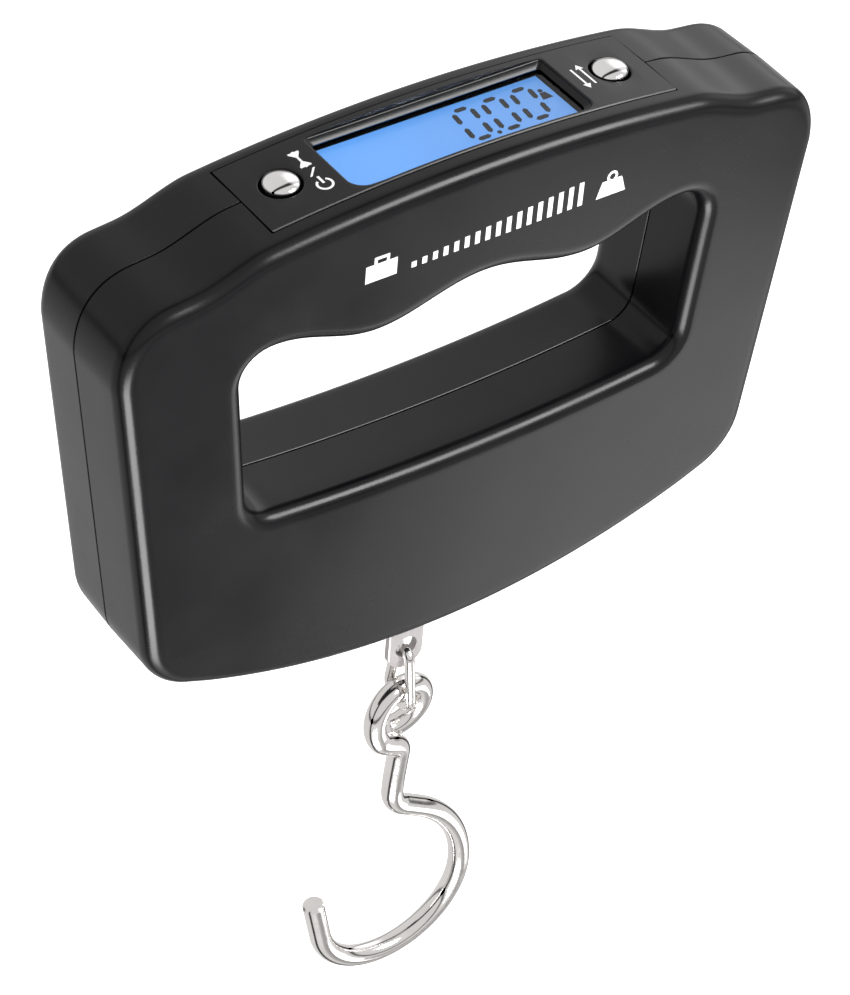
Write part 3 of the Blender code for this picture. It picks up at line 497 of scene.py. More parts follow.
def make_materials():
    steel = (0.70, 0.70, 0.71)
    nickel = (0.83, 0.81, 0.79)
    return {
        "housing_plastic": moulded_plastic("housing_plastic", (0.003, 0.003, 0.0037), 0.25, shine=0.25),
        "panel_plastic": moulded_plastic("panel_plastic", (0.0034, 0.0034, 0.004), 0.27, 0.15, shine=0.28),
        "clear_lens": clear_plastic("clear_lens"),
        "lit_display": lit_display("lit_display"),
        "light_guide": moulded_plastic("light_guide", (0.75, 0.78, 0.80), 0.3, 0.05),
        "contact_rubber": moulded_plastic("contact_rubber", (0.05, 0.04, 0.05), 0.8, 0.3),
        "circuit_board": moulded_plastic("circuit_board", (0.015, 0.14, 0.06), 0.4, 0.2, 1.2),
        "chip_resin": moulded_plastic("chip_resin", (0.012, 0.012, 0.012), 0.25, 0.1, 1.5),
        "steel": polished_metal("steel", steel, 0.28, scratch=0.08),
        "chrome_cap": polished_metal("chrome_cap", (0.86, 0.85, 0.85), 0.09, scratch=0.02),
        "beam_aluminium": polished_metal("beam_aluminium", (0.78, 0.79, 0.80), 0.35, (0.1, 1, 1), 0.15),
        "gauge_foil": moulded_plastic("gauge_foil", (0.60, 0.30, 0.06), 0.4, 0.2, 0.6),
        "strap_steel": polished_metal("strap_steel", (0.50, 0.48, 0.48), 0.46, (1, 1, 0.05), 0.08),
        "nickel_wire": polished_metal("nickel_wire", nickel, 0.12, scratch=0.0),
        "battery_wrap": moulded_plastic("battery_wrap", (0.02, 0.05, 0.16), 0.25, 0.05),
        "contact_metal": polished_metal("contact_metal", nickel, 0.22),
        "lead_red": moulded_plastic("lead_red", (0.45, 0.02, 0.015), 0.45, 0.1),
        "lead_black": moulded_plastic("lead_black", (0.012, 0.012, 0.012), 0.45, 0.1),
        "cable_grey": moulded_plastic("cable_grey", (0.25, 0.25, 0.27), 0.5, 0.1),
    }


MATERIALS = make_materials()
PRINT_WHITE = moulded_plastic("print_white", (0.80, 0.80, 0.80), 0.5, 0.1)
LCD_BLACK = moulded_plastic("lcd_black", (0.0005, 0.001, 0.002), 0.6, 0.05, shine=0.05)


def place(obj, body, slot, *nodes, material=None):
    """Gives a piece its body, its finish and the CAD nodes that it stands for."""
    obj.data.materials.clear()
    obj.data.materials.append(material or MATERIALS[slot])
    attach(obj, body)
    if nodes:
        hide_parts(*nodes)
    return obj


# ---------------------------------------------------------------- housing

def fillet_steps(radius, steps):
    """(inset, drop below the face) pairs round a quarter circle, from the wall to the face."""
    angles = [math.radians(90 * i / steps) for i in range(steps + 1)]
    return [(radius * (1 - math.cos(a)), radius * (1 - math.sin(a))) for a in angles]


def wall_profile(seam_y, face_y, fillet, steps):
    """(inset, y) pairs from the seam's inner edge, over the outer wall, onto the face."""
    toward = math.copysign(1.0, face_y)
    profile = [(WALL, seam_y), (SEAM_CHAMFER, seam_y), (0.0, seam_y + toward * SEAM_CHAMFER)]
    lean_end = face_y - toward * fillet
    for i in (1, 2):
        profile.append((DRAFT * i / 3, seam_y + (lean_end - seam_y) * i / 3))
    profile += [(DRAFT + inset, face_y - toward * drop) for inset, drop in fillet_steps(fillet, steps)]
    profile.append((DRAFT + fillet + 0.6, face_y))
    return profile


def shell_skin(name, seam_y, face_y, rim_fillet, hole_fillet):
    """Hollow half housing: drafted walls, rounded rims and a flat face around the hand hole."""
    outline, hole = housing_outline(), hand_hole_outline()
    bm = bmesh.new()
    outer_rings = [
        add_ring(bm, [(p.x, y, p.y) for p in offset_loop(outline, -inset)])
        for inset, y in wall_profile(seam_y, face_y, rim_fillet, 12)]
    hole_rings = [
        add_ring(bm, [(p.x, y, p.y) for p in offset_loop(hole, inset)])
        for inset, y in wall_profile(seam_y, face_y, hole_fillet, 10)]
    inner_y = face_y - math.copysign(WALL, face_y)
    outer_corner = add_ring(bm, [(p.x, inner_y, p.y) for p in offset_loop(outline, -WALL - DRAFT)])
    hole_corner = add_ring(bm, [(p.x, inner_y, p.y) for p in offset_loop(hole, WALL + DRAFT)])
    bridge_all(bm, outer_rings)
    bridge_all(bm, hole_rings)
    bridge(bm, outer_rings[0], outer_corner)
    bridge(bm, hole_rings[0], hole_corner)
    fill_between(bm, outer_rings[-1], hole_rings[-1])
    fill_between(bm, outer_corner, hole_corner)
    return new_object(name, bm)


def circle_y(x, z, radius, y, sides=48):
    return prism_y("tool", arc((x, z), radius, 0, 360 - 360 / sides, sides - 1), y)


def cut_shared_openings(shell):
    half_x, half_y = PANEL_HALF[0] + 0.22, PANEL_HALF[1] + 0.22
    cut(shell, box("tool", (-half_x, half_x), (-half_y, half_y), (12.0, TOP_Z + 3)))
    slot_x, slot_y = STRAP_HIGH.x + 0.45, 1.2
    cut(shell, box("tool", (-slot_x, slot_x), (-slot_y, slot_y), (-75.0, -64.0)))


def case_screw_places():
    places = {}
    for name in ("upper_left", "upper_right", "lower_left", "lower_right"):
        low, high = node_box(f"case_screw_{name}")
        places[name] = ((low.x + high.x) / 2, (low.z + high.z) / 2)
    return places


REAR_SEAM_Y = -FRONT_HIGH.y  # the rear shell's seam mirrors the front one's
BOSS_BORE = 1.5
HEAD_POCKET = (2.7, 3.2)     # radius of the pocket for a screw's head, and where it starts
BAY_HALF = 26.1
BAY_Z = (-59.05, -36.85)
BAY_WALL = 1.2
BAY_TOP = (-34.85, -34.0)    # outer top of the bay's front part and of its rear part


def front_housing():
    skin = shell_skin("front_shell_skin", FRONT_HIGH.y, FRONT_LOW.y, RIM_FILLET, HOLE_FILLET)
    inner = FRONT_LOW.y + WALL
    for x, z in case_screw_places().values():
        join(skin, circle_y(x, z, 3.2, (inner - 0.5, FRONT_HIGH.y - 0.1)))
        cut(skin, circle_y(x, z, BOSS_BORE, (-8.8, 1.0)))
    cut_shared_openings(skin)
    place(skin, "housing", "housing_plastic", "front_shell")


def rear_housing():
    skin = shell_skin("rear_shell_skin", REAR_SEAM_Y, REAR_HIGH.y, REAR_FILLET, REAR_FILLET)
    inner = REAR_HIGH.y - WALL
    for x, z in case_screw_places().values():
        join(skin, circle_y(x, z, 3.6, (REAR_SEAM_Y + 0.1, inner + 0.5)))
    add_battery_bay(skin)
    for x, z in case_screw_places().values():
        cut(skin, circle_y(x, z, BOSS_BORE, (-1.0, 3.7)))
        cut(skin, circle_y(x, z, HEAD_POCKET[0], (HEAD_POCKET[1], REAR_HIGH.y + 1)))
    cut_shared_openings(skin)
    place(skin, "housing", "housing_plastic", "rear_shell")


def add_battery_bay(skin):
    """Open box for two cells, with a ledge round its mouth for the door."""
    outer_x = BAY_HALF + BAY_WALL
    low = BAY_Z[0] - BAY_WALL
    join(skin, box("tool", (-outer_x, outer_x), (REAR_LOW.y, 0.7), (low, BAY_TOP[0])))
    join(skin, box("tool", (-outer_x, outer_x), (0.25, 10.5), (low, BAY_TOP[1])))
    cut(skin, box("tool", (-BAY_HALF, BAY_HALF), (REAR_LOW.y + 1.0, 14.0), BAY_Z))
    recess = rounded_rectangle(DOOR_HIGH.x + 0.25, 12.15, 0.9, (0, door_middle_z()))
    cut(skin, prism_y("tool", recess, (10.35, 14.0)))
    for side in (-1, 1):
        notch_x = sorted((side * 9.4, side * 16.6))
        cut(skin, box("tool", notch_x, (8.0, 10.6), (low - 0.5, BAY_Z[0] + 1)))


DOOR_HEIGHT = 23.8
DOOR_GROOVES = 6
DOOR_GROOVE_PITCH = 1.3


def door_plate_z():
    """Lower and upper edge of the door's plate, from its hinge axis."""
    low = JOINTS["door_hinge"]["pos_m"][2] / MM
    return low, low + DOOR_HEIGHT


def door_middle_z():
    return sum(door_plate_z()) / 2


def battery_door():
    """Door with a finger scoop, grip grooves, tongues and a latch leg."""
    low, high = door_plate_z()
    half_x, half_z = DOOR_HIGH.x, (high - low) / 2
    loops = []
    for inset, y in ((0.0, 10.65), (0.0, 11.7), (0.1, 11.92), (0.3, 12.0)):
        outline = rounded_rectangle(half_x - inset, half_z - inset, 0.8 - inset / 2, (0, door_middle_z()))
        loops.append([(x, y, z) for x, z in outline])
    door = loft("battery_door_cover", loops)
    for side in (-1, 1):
        join(door, box("tool", sorted((side * 10.0, side * 16.0)), (8.6, 11.2), (low + 0.1, low + 1.3)))
        join(door, box("tool", sorted((side * 10.2, side * 15.8)), (8.7, 9.65), (low - 1.8, low + 0.6)))
    join(door, box("tool", (-4.0, 4.0), (9.0, 11.2), (-38.4, -37.4)))
    scoop = turned("tool", [(0, 7.0), (5.0, 7.0), (6.0, 6.0), (6.0, -6.0), (5.0, -7.0), (0, -7.0)],
                   (0, 17.1, high - 4.0), "X")
    cut(door, scoop)
    for i in range(DOOR_GROOVES):
        z = low + 3.0 + DOOR_GROOVE_PITCH * i
        cut(door, box("tool", (-7.0, 7.0), (11.75, 13.0), (z, z + 0.55)))
    for face in door.data.polygons:
        face.use_smooth = False
    place(door, "battery_door", "housing_plastic", "battery_door")


# ---------------------------------------------------------------- screws

def screw(name, node_name, head_top, head, tip):
    """Pan-head screw that faces +Y, with a cross recess and a turned thread."""
    low, high = node_box(node_name)
    x, z = (low.x + high.x) / 2, (low.z + high.z) / 2
    radius, height = head
    seat = head_top - height
    profile = [(0, head_top)]
    profile += [(radius * math.sin(a), head_top - height * 0.6 * (1 - math.cos(a)))
                for a in (math.radians(15 * i) for i in range(2, 7))]
    profile += [(radius, seat), (1.15, seat)]
    pitch = 0.8
    turns = int((seat - tip - 1.0) / pitch)
    for i in range(turns):
        crest = seat - 0.6 - pitch * i
        profile += [(0.95, crest + 0.2), (1.2, crest - 0.1), (0.95, crest - 0.4)]
    profile += [(0.9, tip + 0.8), (0.25, tip), (0, tip)]
    made = turned(name, profile, (x, 0, z), "Y", 40)
    arm, half = radius * 0.62, 0.28
    for across, up, depth in ((arm, half, 0.6), (half, arm, 0.58)):
        recess_y = (head_top - height * depth, head_top + 1)
        cut(made, box("tool", (x - across, x + across), recess_y, (z - up, z + up)))
    place(made, "housing", "steel", node_name)


def screws():
    for name in case_screw_places():
        node_name = f"case_screw_{name}"
        low, high = node_box(node_name)
        screw(node_name + "_detail", node_name, high.y, (2.3, 1.7), low.y)
    for node_name, head in (("load_cell_screw_left", (2.3, 1.3)), ("load_cell_screw_right", (2.3, 1.3)),
                            ("strap_screw_upper", (2.2, 0.9)), ("strap_screw_lower", (2.2, 0.9))):
        low, high = node_box(node_name)
        screw(node_name + "_detail", node_name, high.y, head, low.y)


# ---------------------------------------------------------------- display panel

def on_arch(loop, depth):
    """Loop in x and y laid on the surface depth below the top arch."""
    return [(x, y, arch_z(x, depth)) for x, y in loop]


def display_panel():
    """Curved plate with rounded button wells and a sloped window, captured by a flange."""
    xs = [PANEL_HALF[0] * (i / 70 - 1) for i in range(141)]
    lower = [(x, arch_z(x, 3.0)) for x in xs]
    upper = [(x, arch_z(x, 0.0)) for x in reversed(xs)]
    edge = 0.15
    loops = []
    for inset, y in ((edge, -PANEL_HALF[1]), (0.0, -PANEL_HALF[1] + edge),
                     (0.0, PANEL_HALF[1] - edge), (edge, PANEL_HALF[1])):
        trimmed = [(x * (1 - inset / PANEL_HALF[0]), z - inset) for x, z in upper]
        loops.append([(x, y, z) for x, z in lower + trimmed])
    panel = loft("display_panel_face", loops)
    flange_half = PANEL_HIGH.x
    xs = [flange_half * (i / 40 - 1) for i in range(81)]
    flange = [(x, arch_z(x, 3.6)) for x in xs] + [(x, arch_z(x, 2.3)) for x in reversed(xs)]
    join(panel, prism_y("tool", flange, (PANEL_LOW.y, PANEL_HIGH.y)))
    cut(panel, box("tool", (-22.3, 22.3), (-7.4, 7.4), (11.5, LENS_HIGH.z + GAP)))
    cut(panel, window_tool())
    for side in (-1, 1):
        x = side * BUTTON_X
        cut(panel, turned("tool", [(0, 16.5), (4.5, 16.5), (4.5, 10.5), (0, 10.5)], (x, 0, 0)))
        cut(panel, button_well_tool(x))
    place(panel, "housing", "panel_plastic", "display_panel")


def rim_steps(radius, steps=5):
    """(growth, depth) pairs down a rounded rim, from the surface to the wall."""
    angles = [math.radians(90 * i / steps) for i in range(steps + 1)]
    return [(radius * (1 - math.sin(a)), radius * (1 - math.cos(a))) for a in angles]


def window_loop(half, grow=0.0):
    """Window outline with crisp far corners and round near ones."""
    radii = tuple(radius + grow for radius in WINDOW_CORNERS)
    return rounded_rectangle(half[0] + grow, half[1] + grow, radii, (0, WINDOW_SHIFT))


def window_tool():
    """Opening over the display: a rounded rim, then a bezel that slopes to the lens."""
    above = TOP_Z + 2.0
    loops = [[(x, y, above) for x, y in window_loop(WINDOW_HALF, WINDOW_RIM)]]
    for grow, depth in [(WINDOW_RIM, -0.1)] + rim_steps(WINDOW_RIM):
        loops.append(on_arch(window_loop(WINDOW_HALF, grow), depth))
    bottom = LENS_HIGH.z + GAP
    for z in (bottom, bottom - 0.4):
        loops.append([(x, y, z) for x, y in window_loop(VIEW_HALF)])
    return loft("tool", loops)


def button_well_tool(x):
    """Round well for a button, with a rounded rim on the arch."""
    def circle(radius):
        return arc((x, 0), radius, 0, 355, 71)

    loops = [[(px, py, TOP_Z + 2.0) for px, py in circle(CAP_HOLE_RADIUS + WELL_RIM)]]
    for grow, depth in [(WELL_RIM, -0.1)] + rim_steps(WELL_RIM):
        loops.append(on_arch(circle(CAP_HOLE_RADIUS + grow), depth))
    loops.append([(px, py, 14.0) for px, py in circle(CAP_HOLE_RADIUS)])
    return loft("tool", loops)


def display_lens():
    loops = []
    edge = 0.15
    for inset, z in ((edge, LENS_LOW.z), (0.0, LENS_LOW.z + edge),
                     (0.0, LENS_HIGH.z - edge), (edge, LENS_HIGH.z)):
        loop = rounded_rectangle(LENS_HIGH.x - inset, LENS_HIGH.y - inset, 0.8)
        loops.append([(x, y, z) for x, y in loop])
    place(loft("display_lens", loops), "housing", "clear_lens", "lcd_lens")


def display_glass():
    loops = []
    for inset, z in ((0.0, GLASS_LOW.z), (0.0, GLASS_HIGH.z - 0.1), (0.1, GLASS_HIGH.z)):
        loop = rounded_rectangle(GLASS_HIGH.x - inset, GLASS_HIGH.y - inset, 0.4)
        loops.append([(x, y, z) for x, y in loop])
    place(loft("display_glass", loops), "housing", "lit_display", "lcd_glass")


MASK_EDGE = (19.6, 5.7)      # the glass is black beyond this x and this y


def display_mask():
    """Black border on the glass, along its far and right sides."""
    half_x, half_y = GLASS_HIGH.x - 0.2, GLASS_HIGH.y - 0.2
    edge_x, edge_y = MASK_EDGE
    lcd_shape("display_mask", [(-half_x, edge_y), (edge_x, edge_y), (edge_x, -half_y),
                               (half_x, -half_y), (half_x, half_y), (-half_x, half_y)])


DIGIT_START = (4.3, 0.3)     # middle of the first digit
POINT_X = 6.95
DIGIT_WIDTH = 3.2
DIGIT_HEIGHT = 7.4
DIGIT_PITCH = 5.2
DIGIT_SLANT = 0.11
SEGMENT_WIDTH = 0.85


def lcd_shape(name, loop):
    z = (GLASS_HIGH.z + 0.01, GLASS_HIGH.z + 0.06)
    piece = loft(name, [[(x, y, level) for x, y in loop] for level in z])
    place(piece, "housing", "lit_display", material=LCD_BLACK)


def segment(name, centre, half_length, upright):
    """One bar of a digit with pointed ends, leaning with the digit."""
    half = SEGMENT_WIDTH / 2
    bar = [(-half_length, 0), (-half_length + half, -half), (half_length - half, -half),
           (half_length, 0), (half_length - half, half), (-half_length + half, half)]
    if upright:
        bar = [(-v, u) for u, v in bar]
    loop = [(centre[0] + u + (centre[1] + v) * DIGIT_SLANT, centre[1] + v) for u, v in bar]
    lcd_shape(name, loop)


def zero_digit(label, x, y):
    """The six outer bars of a seven-bar digit."""
    half_w, half_h = DIGIT_WIDTH / 2, DIGIT_HEIGHT / 2
    for part, height in (("top", half_h), ("bottom", -half_h)):
        segment(f"digit_{label}_{part}", (x, y + height), half_w * 0.72, False)
    for side, dx in (("left", -half_w), ("right", half_w)):
        for part, dy in (("upper", half_h / 2), ("lower", -half_h / 2)):
            segment(f"digit_{label}_{side}_{part}", (x + dx, y + dy), half_h * 0.36, True)


def display_reading():
    """Three zeros with a point, and a small weight symbol at the right."""
    for i in range(3):
        zero_digit(str(i), DIGIT_START[0] + DIGIT_PITCH * i, DIGIT_START[1])
    point_x, point_y = POINT_X, DIGIT_START[1] - DIGIT_HEIGHT / 2
    lcd_shape("digit_point", arc((point_x + point_y * DIGIT_SLANT, point_y), 0.38, 0, 345, 23))
    lcd_shape("unit_weight", [(17.0, 0.1), (18.8, 0.1), (18.4, 1.7), (17.4, 1.7)])
    lcd_shape("unit_weight_ring", arc((17.9, 2.2), 0.4, 0, 345, 23))


# ---------------------------------------------------------------- buttons

def button_cap(name, node_name, body):
    """Plated dome with a crisp lower edge, its flange under the panel and its stem."""
    low, high = node_box(node_name)
    x = (low.x + high.x) / 2
    rise = 1.25
    edge = high.z - rise
    profile = [(0, high.z)]
    profile += [(CAP_RADIUS * math.sin(a), edge + rise * math.cos(a))
                for a in (math.radians(5 * i) for i in range(1, 19))]
    profile += [(CAP_RADIUS, 16.25), (3.95, 16.2), (4.0, 16.15), (4.0, 15.45), (3.95, 15.4),
                (1.5, 15.4), (1.5, low.z + 0.1), (1.4, low.z), (0, low.z)]
    cap = turned(name, profile, (x, 0, 0), "Z", 72)
    place(cap, body, "chrome_cap", node_name)


# ---------------------------------------------------------------- printed marks

def flat_mark(name, loops, lay):
    """Thin printed shape. lay turns (u, v, height) into a place on the object."""
    for index, loop in enumerate(loops):
        rings = []
        for height in (-0.02, 0.03):
            rings.append([lay(u, v, height) for u, v in loop])
        label = name if len(loops) == 1 else f"{name}_{index}"
        place(loft(label, rings), "housing", "housing_plastic", material=PRINT_WHITE)


def ring_loop(centre, radius, width, start=0, end=360):
    """Outline of an open ring, drawn as one band with a narrow gap."""
    outer = arc(centre, radius + width / 2, start, end, 36)
    inner = arc(centre, radius - width / 2, end, start, 36)
    return outer + inner


def bar_loop(x, y, half_x, half_y):
    return [(x - half_x, y - half_y), (x + half_x, y - half_y),
            (x + half_x, y + half_y), (x - half_x, y + half_y)]


def on_front(u, v, height):
    return (u, FRONT_LOW.y - height, v)


def capacity_marks():
    """A suitcase, a rising row of bars and a weight, printed across the grip bar."""
    base, top = 7.2, 11.4
    suitcase = [(-22.0, base), (-16.6, base), (-16.6, 10.2), (-22.0, 10.2)]
    flat_mark("mark_suitcase", [suitcase], on_front)
    handle = [(-20.6, 10.2), (-20.1, 10.2), (-20.1, 10.9), (-18.5, 10.9), (-18.5, 10.2), (-18.0, 10.2),
              (-18.0, top), (-20.6, top)]
    flat_mark("mark_suitcase_handle", [handle], on_front)
    count = 17
    for i in range(count):
        x = -13.6 + 1.85 * i
        height = 1.0 + (top - base - 1.0) * i / (count - 1)
        flat_mark(f"mark_bar_{i}", [bar_loop(x, base + height / 2, 0.42, height / 2)], on_front)
    weight = [(19.0, base), (24.4, base), (23.5, 10.0), (19.9, 10.0)]
    flat_mark("mark_weight", [weight], on_front)
    flat_mark("mark_weight_ring", [ring_loop((21.7, 10.55), 0.75, 0.45, -60, 240)], on_front)


def on_top(u, v, height):
    return (u, v, arch_z(u) + height)


def button_marks():
    """A power symbol and a zero balance by the left button, two arrows by the right one."""
    x = -24.0
    flat_mark("mark_power_ring", [ring_loop((x, -3.6), 1.15, 0.36, -235, 55)], on_top)
    flat_mark("mark_power_bar", [bar_loop(x, -2.5, 0.19, 0.85)], on_top)
    flat_mark("mark_slash", [[(x - 0.9, -1.2), (x - 0.5, -1.2), (x + 0.9, 0.4), (x + 0.5, 0.4)]], on_top)
    flat_mark("mark_zero_beam", [bar_loop(x, 3.0, 0.18, 2.0)], on_top)
    for side in (-1, 1):
        tip = 3.0 + side * 0.35
        wing = [(x - 0.9, tip + side * 1.2), (x - 0.9, tip + side * 1.5), (x + 0.9, tip + side * 1.5),
                (x + 0.9, tip + side * 1.2), (x, tip)]
        flat_mark(f"mark_zero_arrow_{'near' if side < 0 else 'far'}", [wing], on_top)
    x = 24.0
    for side in (-1, 1):
        middle = x + side * 0.75
        flat_mark(f"mark_unit_line_{side + 1}", [bar_loop(middle, 0, 0.17, 2.2)], on_top)
        tip = side * 3.0
        head = [(middle - 0.7, tip - side * 1.1), (middle + 0.7, tip - side * 1.1), (middle, tip)]
        flat_mark(f"mark_unit_head_{side + 1}", [head], on_top)


# ---------------------------------------------------------------- strap, link and hook

STRAP_THICK = 1.4
STRAP_JOG_Z = (-60.9, -65.2) # the strap steps to the middle between these heights
STRAP_HOLE_RADIUS = 2.1
LINK_TOP_RADIUS = 2.0


def strap():
    """Flat strap with broken edges, its jog and its round end with a hole."""
    half = STRAP_HIGH.x
    tab_y = STRAP_LOW.y + STRAP_THICK / 2
    end_z = STRAP_LOW.z
    side = [(tab_y, STRAP_HIGH.z), (tab_y, STRAP_JOG_Z[0]), (0, STRAP_JOG_Z[1]), (0, end_z)]
    loops = []
    for inset, x in ((0.2, -half), (0.0, -half + 0.2), (0.0, half - 0.2), (0.2, half)):
        outline = strap_band(side, STRAP_THICK / 2 - inset)
        loops.append([(x, y, z) for y, z in outline])
    made = loft("strap_plate", loops)
    outer = arc((0, end_z + half), half, 180, 360, 48)
    keep = prism_y("tool", [(half + 1, 0)] + [(-half - 1, 0), (-half - 1, end_z + half)] + outer
                   + [(half + 1, end_z + half)], (-8.0, 4.0))
    combine(made, keep, "INTERSECT")
    hole_z = (JOINTS["link_swing"]["pos_m"][2] / MM) + 0.8
    cut(made, circle_y(0, hole_z, STRAP_HOLE_RADIUS, (-4.0, 4.0)))
    for name in ("strap_screw_upper", "strap_screw_lower"):
        low, high = node_box(name)
        cut(made, circle_y(0, (low.z + high.z) / 2, 1.5, (-6.0, 0.0)))
    place(made, "housing", "strap_steel", "hanger_strap")


def strap_band(points, half):
    """Closed loop at an even distance on both sides of the strap's middle line."""
    left, right = [], []
    steps = [(Vector(b) - Vector(a)).normalized() for a, b in zip(points, points[1:])]
    for here, before, after in zip(points, steps[:1] + steps, steps + steps[-1:]):
        along = (before + after).normalized()
        normal = Vector((-along.y, along.x)) * (half / along.dot(before))
        left.append(tuple(Vector(here) + normal))
        right.append(tuple(Vector(here) - normal))
    return right + left[::-1]


def link():
    """Closed wire link: a small arc in the strap's hole and a wider one in the hook's eye."""
    wire = LINK_HIGH.x - LINK_LOW.x
    top_z = LINK_HIGH.z - wire / 2
    bottom_z = LINK_LOW.z + wire / 2
    small, wide = LINK_TOP_RADIUS, LINK_HIGH.y - wire / 2
    top, bottom = (0, top_z - small), (0, bottom_z + wide)
    lean = math.degrees(math.asin((wide - small) / (top[1] - bottom[1])))
    ring = arc(top, small, lean, 180 - lean, 24)
    ring += arc(bottom, wide, 180 - lean, 360 + lean, 40)
    made = sweep("link_wire", [(0, y, z) for y, z in ring], wire / 2, closed=True)
    place(made, "chain_link", "nickel_wire", "chain_link")


HOOK_RADIUS = 1.95           # of the wire
EYE_RADIUS = 5.7
SHANK_X = 0.3
NECK_RADIUS = 5.5
FLANK_RADIUS = 24.0
BOWL_RADIUS = 15.0
BOWL_SWEEP = 168.0
TIP_LENGTH = 9.5
EYE_START = -150.0           # degrees round the eye at which the shank joins it
EYE_SWEEP = 305.0
FLANK_X = -7.3
SHANK_DROP = 19.6            # from the eye's middle to the neck


def hook_eye(centre_z):
    """Turn of wire that moves along Y as it goes round, so that its end clears the shank."""
    steps = 88
    points = []
    for i in range(steps + 1):
        swept = EYE_SWEEP * i / steps
        angle = math.radians(EYE_START - swept)
        turn = swept / 380.0
        y = -2.1 + 4.8 * turn * (1.6 - 0.6 * turn)
        points.append((EYE_RADIUS * math.cos(angle), y, centre_z + EYE_RADIUS * math.sin(angle)))
    return points


def hook_bowl(shank_end_z, centre_z):
    """Neck, wide flank, bowl and straight tip, each tangent to the one before."""
    neck_centre = (SHANK_X + NECK_RADIUS, shank_end_z)
    flank_centre = (FLANK_X, centre_z)
    across, up = neck_centre[0] - flank_centre[0], neck_centre[1] - flank_centre[1]
    reach = math.acos((FLANK_RADIUS + NECK_RADIUS) / math.hypot(up, across))
    lean = math.degrees(math.atan2(up, across) - reach)
    points = arc(neck_centre, NECK_RADIUS, 180, 180 + lean, 14)
    points += arc(flank_centre, FLANK_RADIUS, lean, 0, 30)
    bowl_centre = (flank_centre[0] + FLANK_RADIUS - BOWL_RADIUS, centre_z)
    points += arc(bowl_centre, BOWL_RADIUS, 0, -BOWL_SWEEP, 60)[1:]
    heading = math.radians(270 - BOWL_SWEEP)
    end_x, end_z = points[-1]
    for i in (0.5, 1.0):
        along_tip = TIP_LENGTH * i
        points.append((end_x + along_tip * math.cos(heading), end_z + along_tip * math.sin(heading)))
    return [(x, 0.0, z) for x, z in points]


def hook():
    eye_z = JOINTS["hook_swing"]["pos_m"][2] / MM - EYE_RADIUS
    bowl_z = HOOK_LOW.z + HOOK_RADIUS + BOWL_RADIUS
    eye = hook_eye(eye_z)
    start = eye[0]
    below = (SHANK_X, start[1] * 0.4, eye_z - 8.8)
    lean = (start[0] + 1.1, start[1], start[2] - 1.9)
    neck = bezier(below, (SHANK_X, start[1] * 0.55, eye_z - 5.8), lean, start, 20)[:-1]
    shank_end = eye_z - SHANK_DROP
    shank = bezier(below, (SHANK_X, start[1] * 0.25, eye_z - 12), (SHANK_X, 0, eye_z - 16.5),
                   (SHANK_X, 0, shank_end + 0.2), 16)
    points = eye[::-1] + neck[::-1] + [below] + shank + hook_bowl(shank_end, bowl_z)
    made = sweep("hook_wire", points, HOOK_RADIUS, sides=36)
    place(made, "hook", "nickel_wire", "hook")


# ---------------------------------------------------------------- pieces inside

def paint_inner_pieces():
    """The remaining CAD pieces keep their shape and get their finish."""
    slots = {row["node"]: row["material_slot"] for row in frame["record"]["subparts"]}
    for name, obj in frame["nodes"].items():
        if not obj.hide_render:
            obj.data.materials.clear()
            obj.data.materials.append(MATERIALS[slots[name]])


# ---------------------------------------------------------------- studio

FLOOR_Z = -750.0
ROOM_LIGHT = 0.8
LIGHT_DISTANCE = 600.0
LIGHT_AIM = (0, 0, -40.0)
# Side and height of each soft box seen from the object, in degrees, its size and its radiance.
SOFT_BOXES = {
    "front_low": (-120, -41, (290, 320), 14.0),
    "front_high": (-54, 36, (320, 200), 17.0),
}
# Bright and dark sides of the room: direction, angles where it is full and where it ends, strength.
ROOM_PATCHES = (
    ((0.85, 0.35, 0.40), 10, 35, 0.95),
    ((0.46, -0.59, -0.66), 8, 32, -0.4),
)
# Dark bands of the room lie on great circles, each given by its axis, half width and strength.
ROOM_BANDS = (
    ((0.26, -0.97, 0.0), 9, -0.76),
    ((0.0, 0.0, 1.0), 6, -0.65),
)


# The camera's place, the directions to its right, above it and ahead of it, and its lens.
CAMERA_PLACE = (-239.2, -307.1, 291.96)
CAMERA_RIGHT = (0.8208, -0.5672, 0.0681)
CAMERA_UP = (0.3355, 0.5751, 0.7461)
CAMERA_AHEAD = (0.4623, 0.5895, -0.6623)
CAMERA_LENS = 118.3


def hidden_from_reflections(obj):
    obj.visible_glossy = False
    obj.visible_diffuse = False
    obj.visible_transmission = False
    obj.visible_shadow = False


def white_floor():
    """Pale floor that only the camera sees. The light on the object comes from the world."""
    bm = bmesh.new()
    bmesh.ops.create_grid(bm, x_segments=1, y_segments=1, size=8.0)
    floor = new_object("floor", bm)
    floor.location.z = FLOOR_Z * MM
    material = bpy.data.materials.new("floor_white")
    material.use_nodes = True
    shader = material.node_tree.nodes["Principled BSDF"]
    shader.inputs["Base Color"].default_value = (0.9, 0.9, 0.9, 1)
    shader.inputs["Roughness"].default_value = 0.9
    shader.inputs["Emission Color"].default_value = (1, 1, 1, 1)
    shader.inputs["Emission Strength"].default_value = 0.9
    floor.data.materials.append(material)
    hidden_from_reflections(floor)


def faded(tree, value, start, end, strength):
    """Smooth step from nothing at start to the strength at end."""
    fade = node(tree, "ShaderNodeMapRange", interpolation_type="SMOOTHSTEP")
    fade.inputs["From Min"].default_value = start
    fade.inputs["From Max"].default_value = end
    fade.inputs["To Max"].default_value = strength
    tree.links.new(value, fade.inputs["Value"])
    return fade.outputs["Result"]


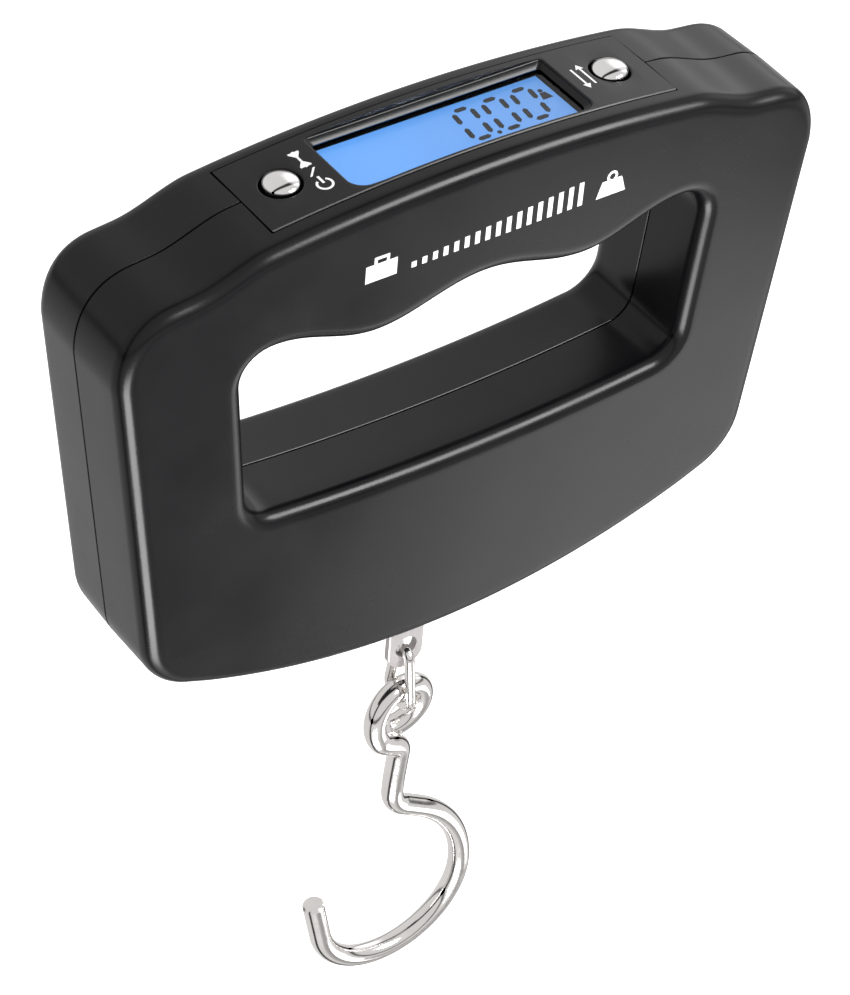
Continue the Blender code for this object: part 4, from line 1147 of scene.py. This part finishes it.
def along(tree, direction, axis):
    dot = node(tree, "ShaderNodeVectorMath", operation="DOT_PRODUCT")
    dot.inputs[1].default_value = Vector(axis).normalized()
    tree.links.new(direction, dot.inputs[0])
    return dot.outputs["Value"]


def room_patch(tree, direction, towards, inner, outer, strength):
    value = along(tree, direction, towards)
    return faded(tree, value, math.cos(math.radians(outer)), math.cos(math.radians(inner)), strength)


def room_band(tree, direction, axis, half_width, strength):
    distance = node(tree, "ShaderNodeMath", operation="ABSOLUTE")
    tree.links.new(along(tree, direction, axis), distance.inputs[0])
    edge = math.sin(math.radians(half_width))
    return faded(tree, distance.outputs["Value"], edge, edge * 0.5, strength)


def studio_world():
    """Pale room with darker bands, and a plain white backdrop for the camera."""
    world = bpy.data.worlds.new("studio")
    bpy.context.scene.world = world
    world.use_nodes = True
    tree = world.node_tree
    direction = node(tree, "ShaderNodeTexCoord").outputs["Generated"]
    fades = [room_patch(tree, direction, *patch) for patch in ROOM_PATCHES]
    fades += [room_band(tree, direction, *band) for band in ROOM_BANDS]
    total = None
    for fade in fades:
        add = node(tree, "ShaderNodeMath", operation="ADD", use_clamp=False)
        add.inputs[0].default_value = ROOM_LIGHT
        if total:
            tree.links.new(total, add.inputs[0])
        tree.links.new(fade, add.inputs[1])
        total = add.outputs["Value"]
    room = tree.nodes["Background"]
    tree.links.new(total, room.inputs["Strength"])
    room.inputs["Color"].default_value = (1, 0.99, 0.985, 1)
    backdrop = node(tree, "ShaderNodeBackground")
    backdrop.inputs["Color"].default_value = (1, 1, 1, 1)
    mix = node(tree, "ShaderNodeMixShader")
    tree.links.new(node(tree, "ShaderNodeLightPath").outputs["Is Camera Ray"], mix.inputs["Fac"])
    tree.links.new(room.outputs["Background"], mix.inputs[1])
    tree.links.new(backdrop.outputs["Background"], mix.inputs[2])
    tree.links.new(mix.outputs["Shader"], tree.nodes["World Output"].inputs["Surface"])


def area_light(name, position, aim, size, radiance):
    """Soft box of the given size that the camera itself doesn't see."""
    data = bpy.data.lights.new(name, "AREA")
    data.shape = "RECTANGLE"
    data.size, data.size_y = (side * MM for side in size)
    data.energy = radiance * math.pi * data.size * data.size_y
    lamp = bpy.data.objects.new(name, data)
    bpy.context.scene.collection.objects.link(lamp)
    lamp.location = Vector(position) * MM
    lamp.rotation_euler = (Vector(aim) - Vector(position)).to_track_quat("-Z", "Y").to_euler()
    lamp.visible_camera = False


def studio():
    white_floor()
    studio_world()
    for name, (side, height, size, radiance) in SOFT_BOXES.items():
        side, height = math.radians(side), math.radians(height)
        level = math.cos(height)
        towards = Vector((level * math.cos(side), level * math.sin(side), math.sin(height)))
        area_light(name, Vector(LIGHT_AIM) + towards * LIGHT_DISTANCE, LIGHT_AIM, size, radiance)
    area_light("floor_glow", (300, -230, -380), (20, -12, -40), (220, 220), 2.2)
    bpy.context.scene.view_settings.view_transform = "Standard"


def camera():
    """Camera in front, to the left and above, turned slightly about its view."""
    data = bpy.data.cameras.new("camera")
    data.lens = CAMERA_LENS
    data.sensor_width = 36.0
    data.clip_start = 0.01
    data.clip_end = 50.0
    cam = bpy.data.objects.new("camera", data)
    bpy.context.scene.collection.objects.link(cam)
    turn = Matrix((Vector(CAMERA_RIGHT), Vector(CAMERA_UP), -Vector(CAMERA_AHEAD))).transposed().to_4x4()
    cam.matrix_world = Matrix.Translation(Vector(CAMERA_PLACE) * MM) @ turn
    bpy.context.scene.camera = cam


front_housing()
rear_housing()
battery_door()
screws()
display_panel()
display_lens()
display_glass()
display_mask()
display_reading()
button_cap("button_tare_dome", "button_tare_cap", "button_tare")
button_cap("button_unit_dome", "button_unit_cap", "button_unit")
capacity_marks()
button_marks()
strap()
link()
hook()
paint_inner_pieces()
studio()
camera()
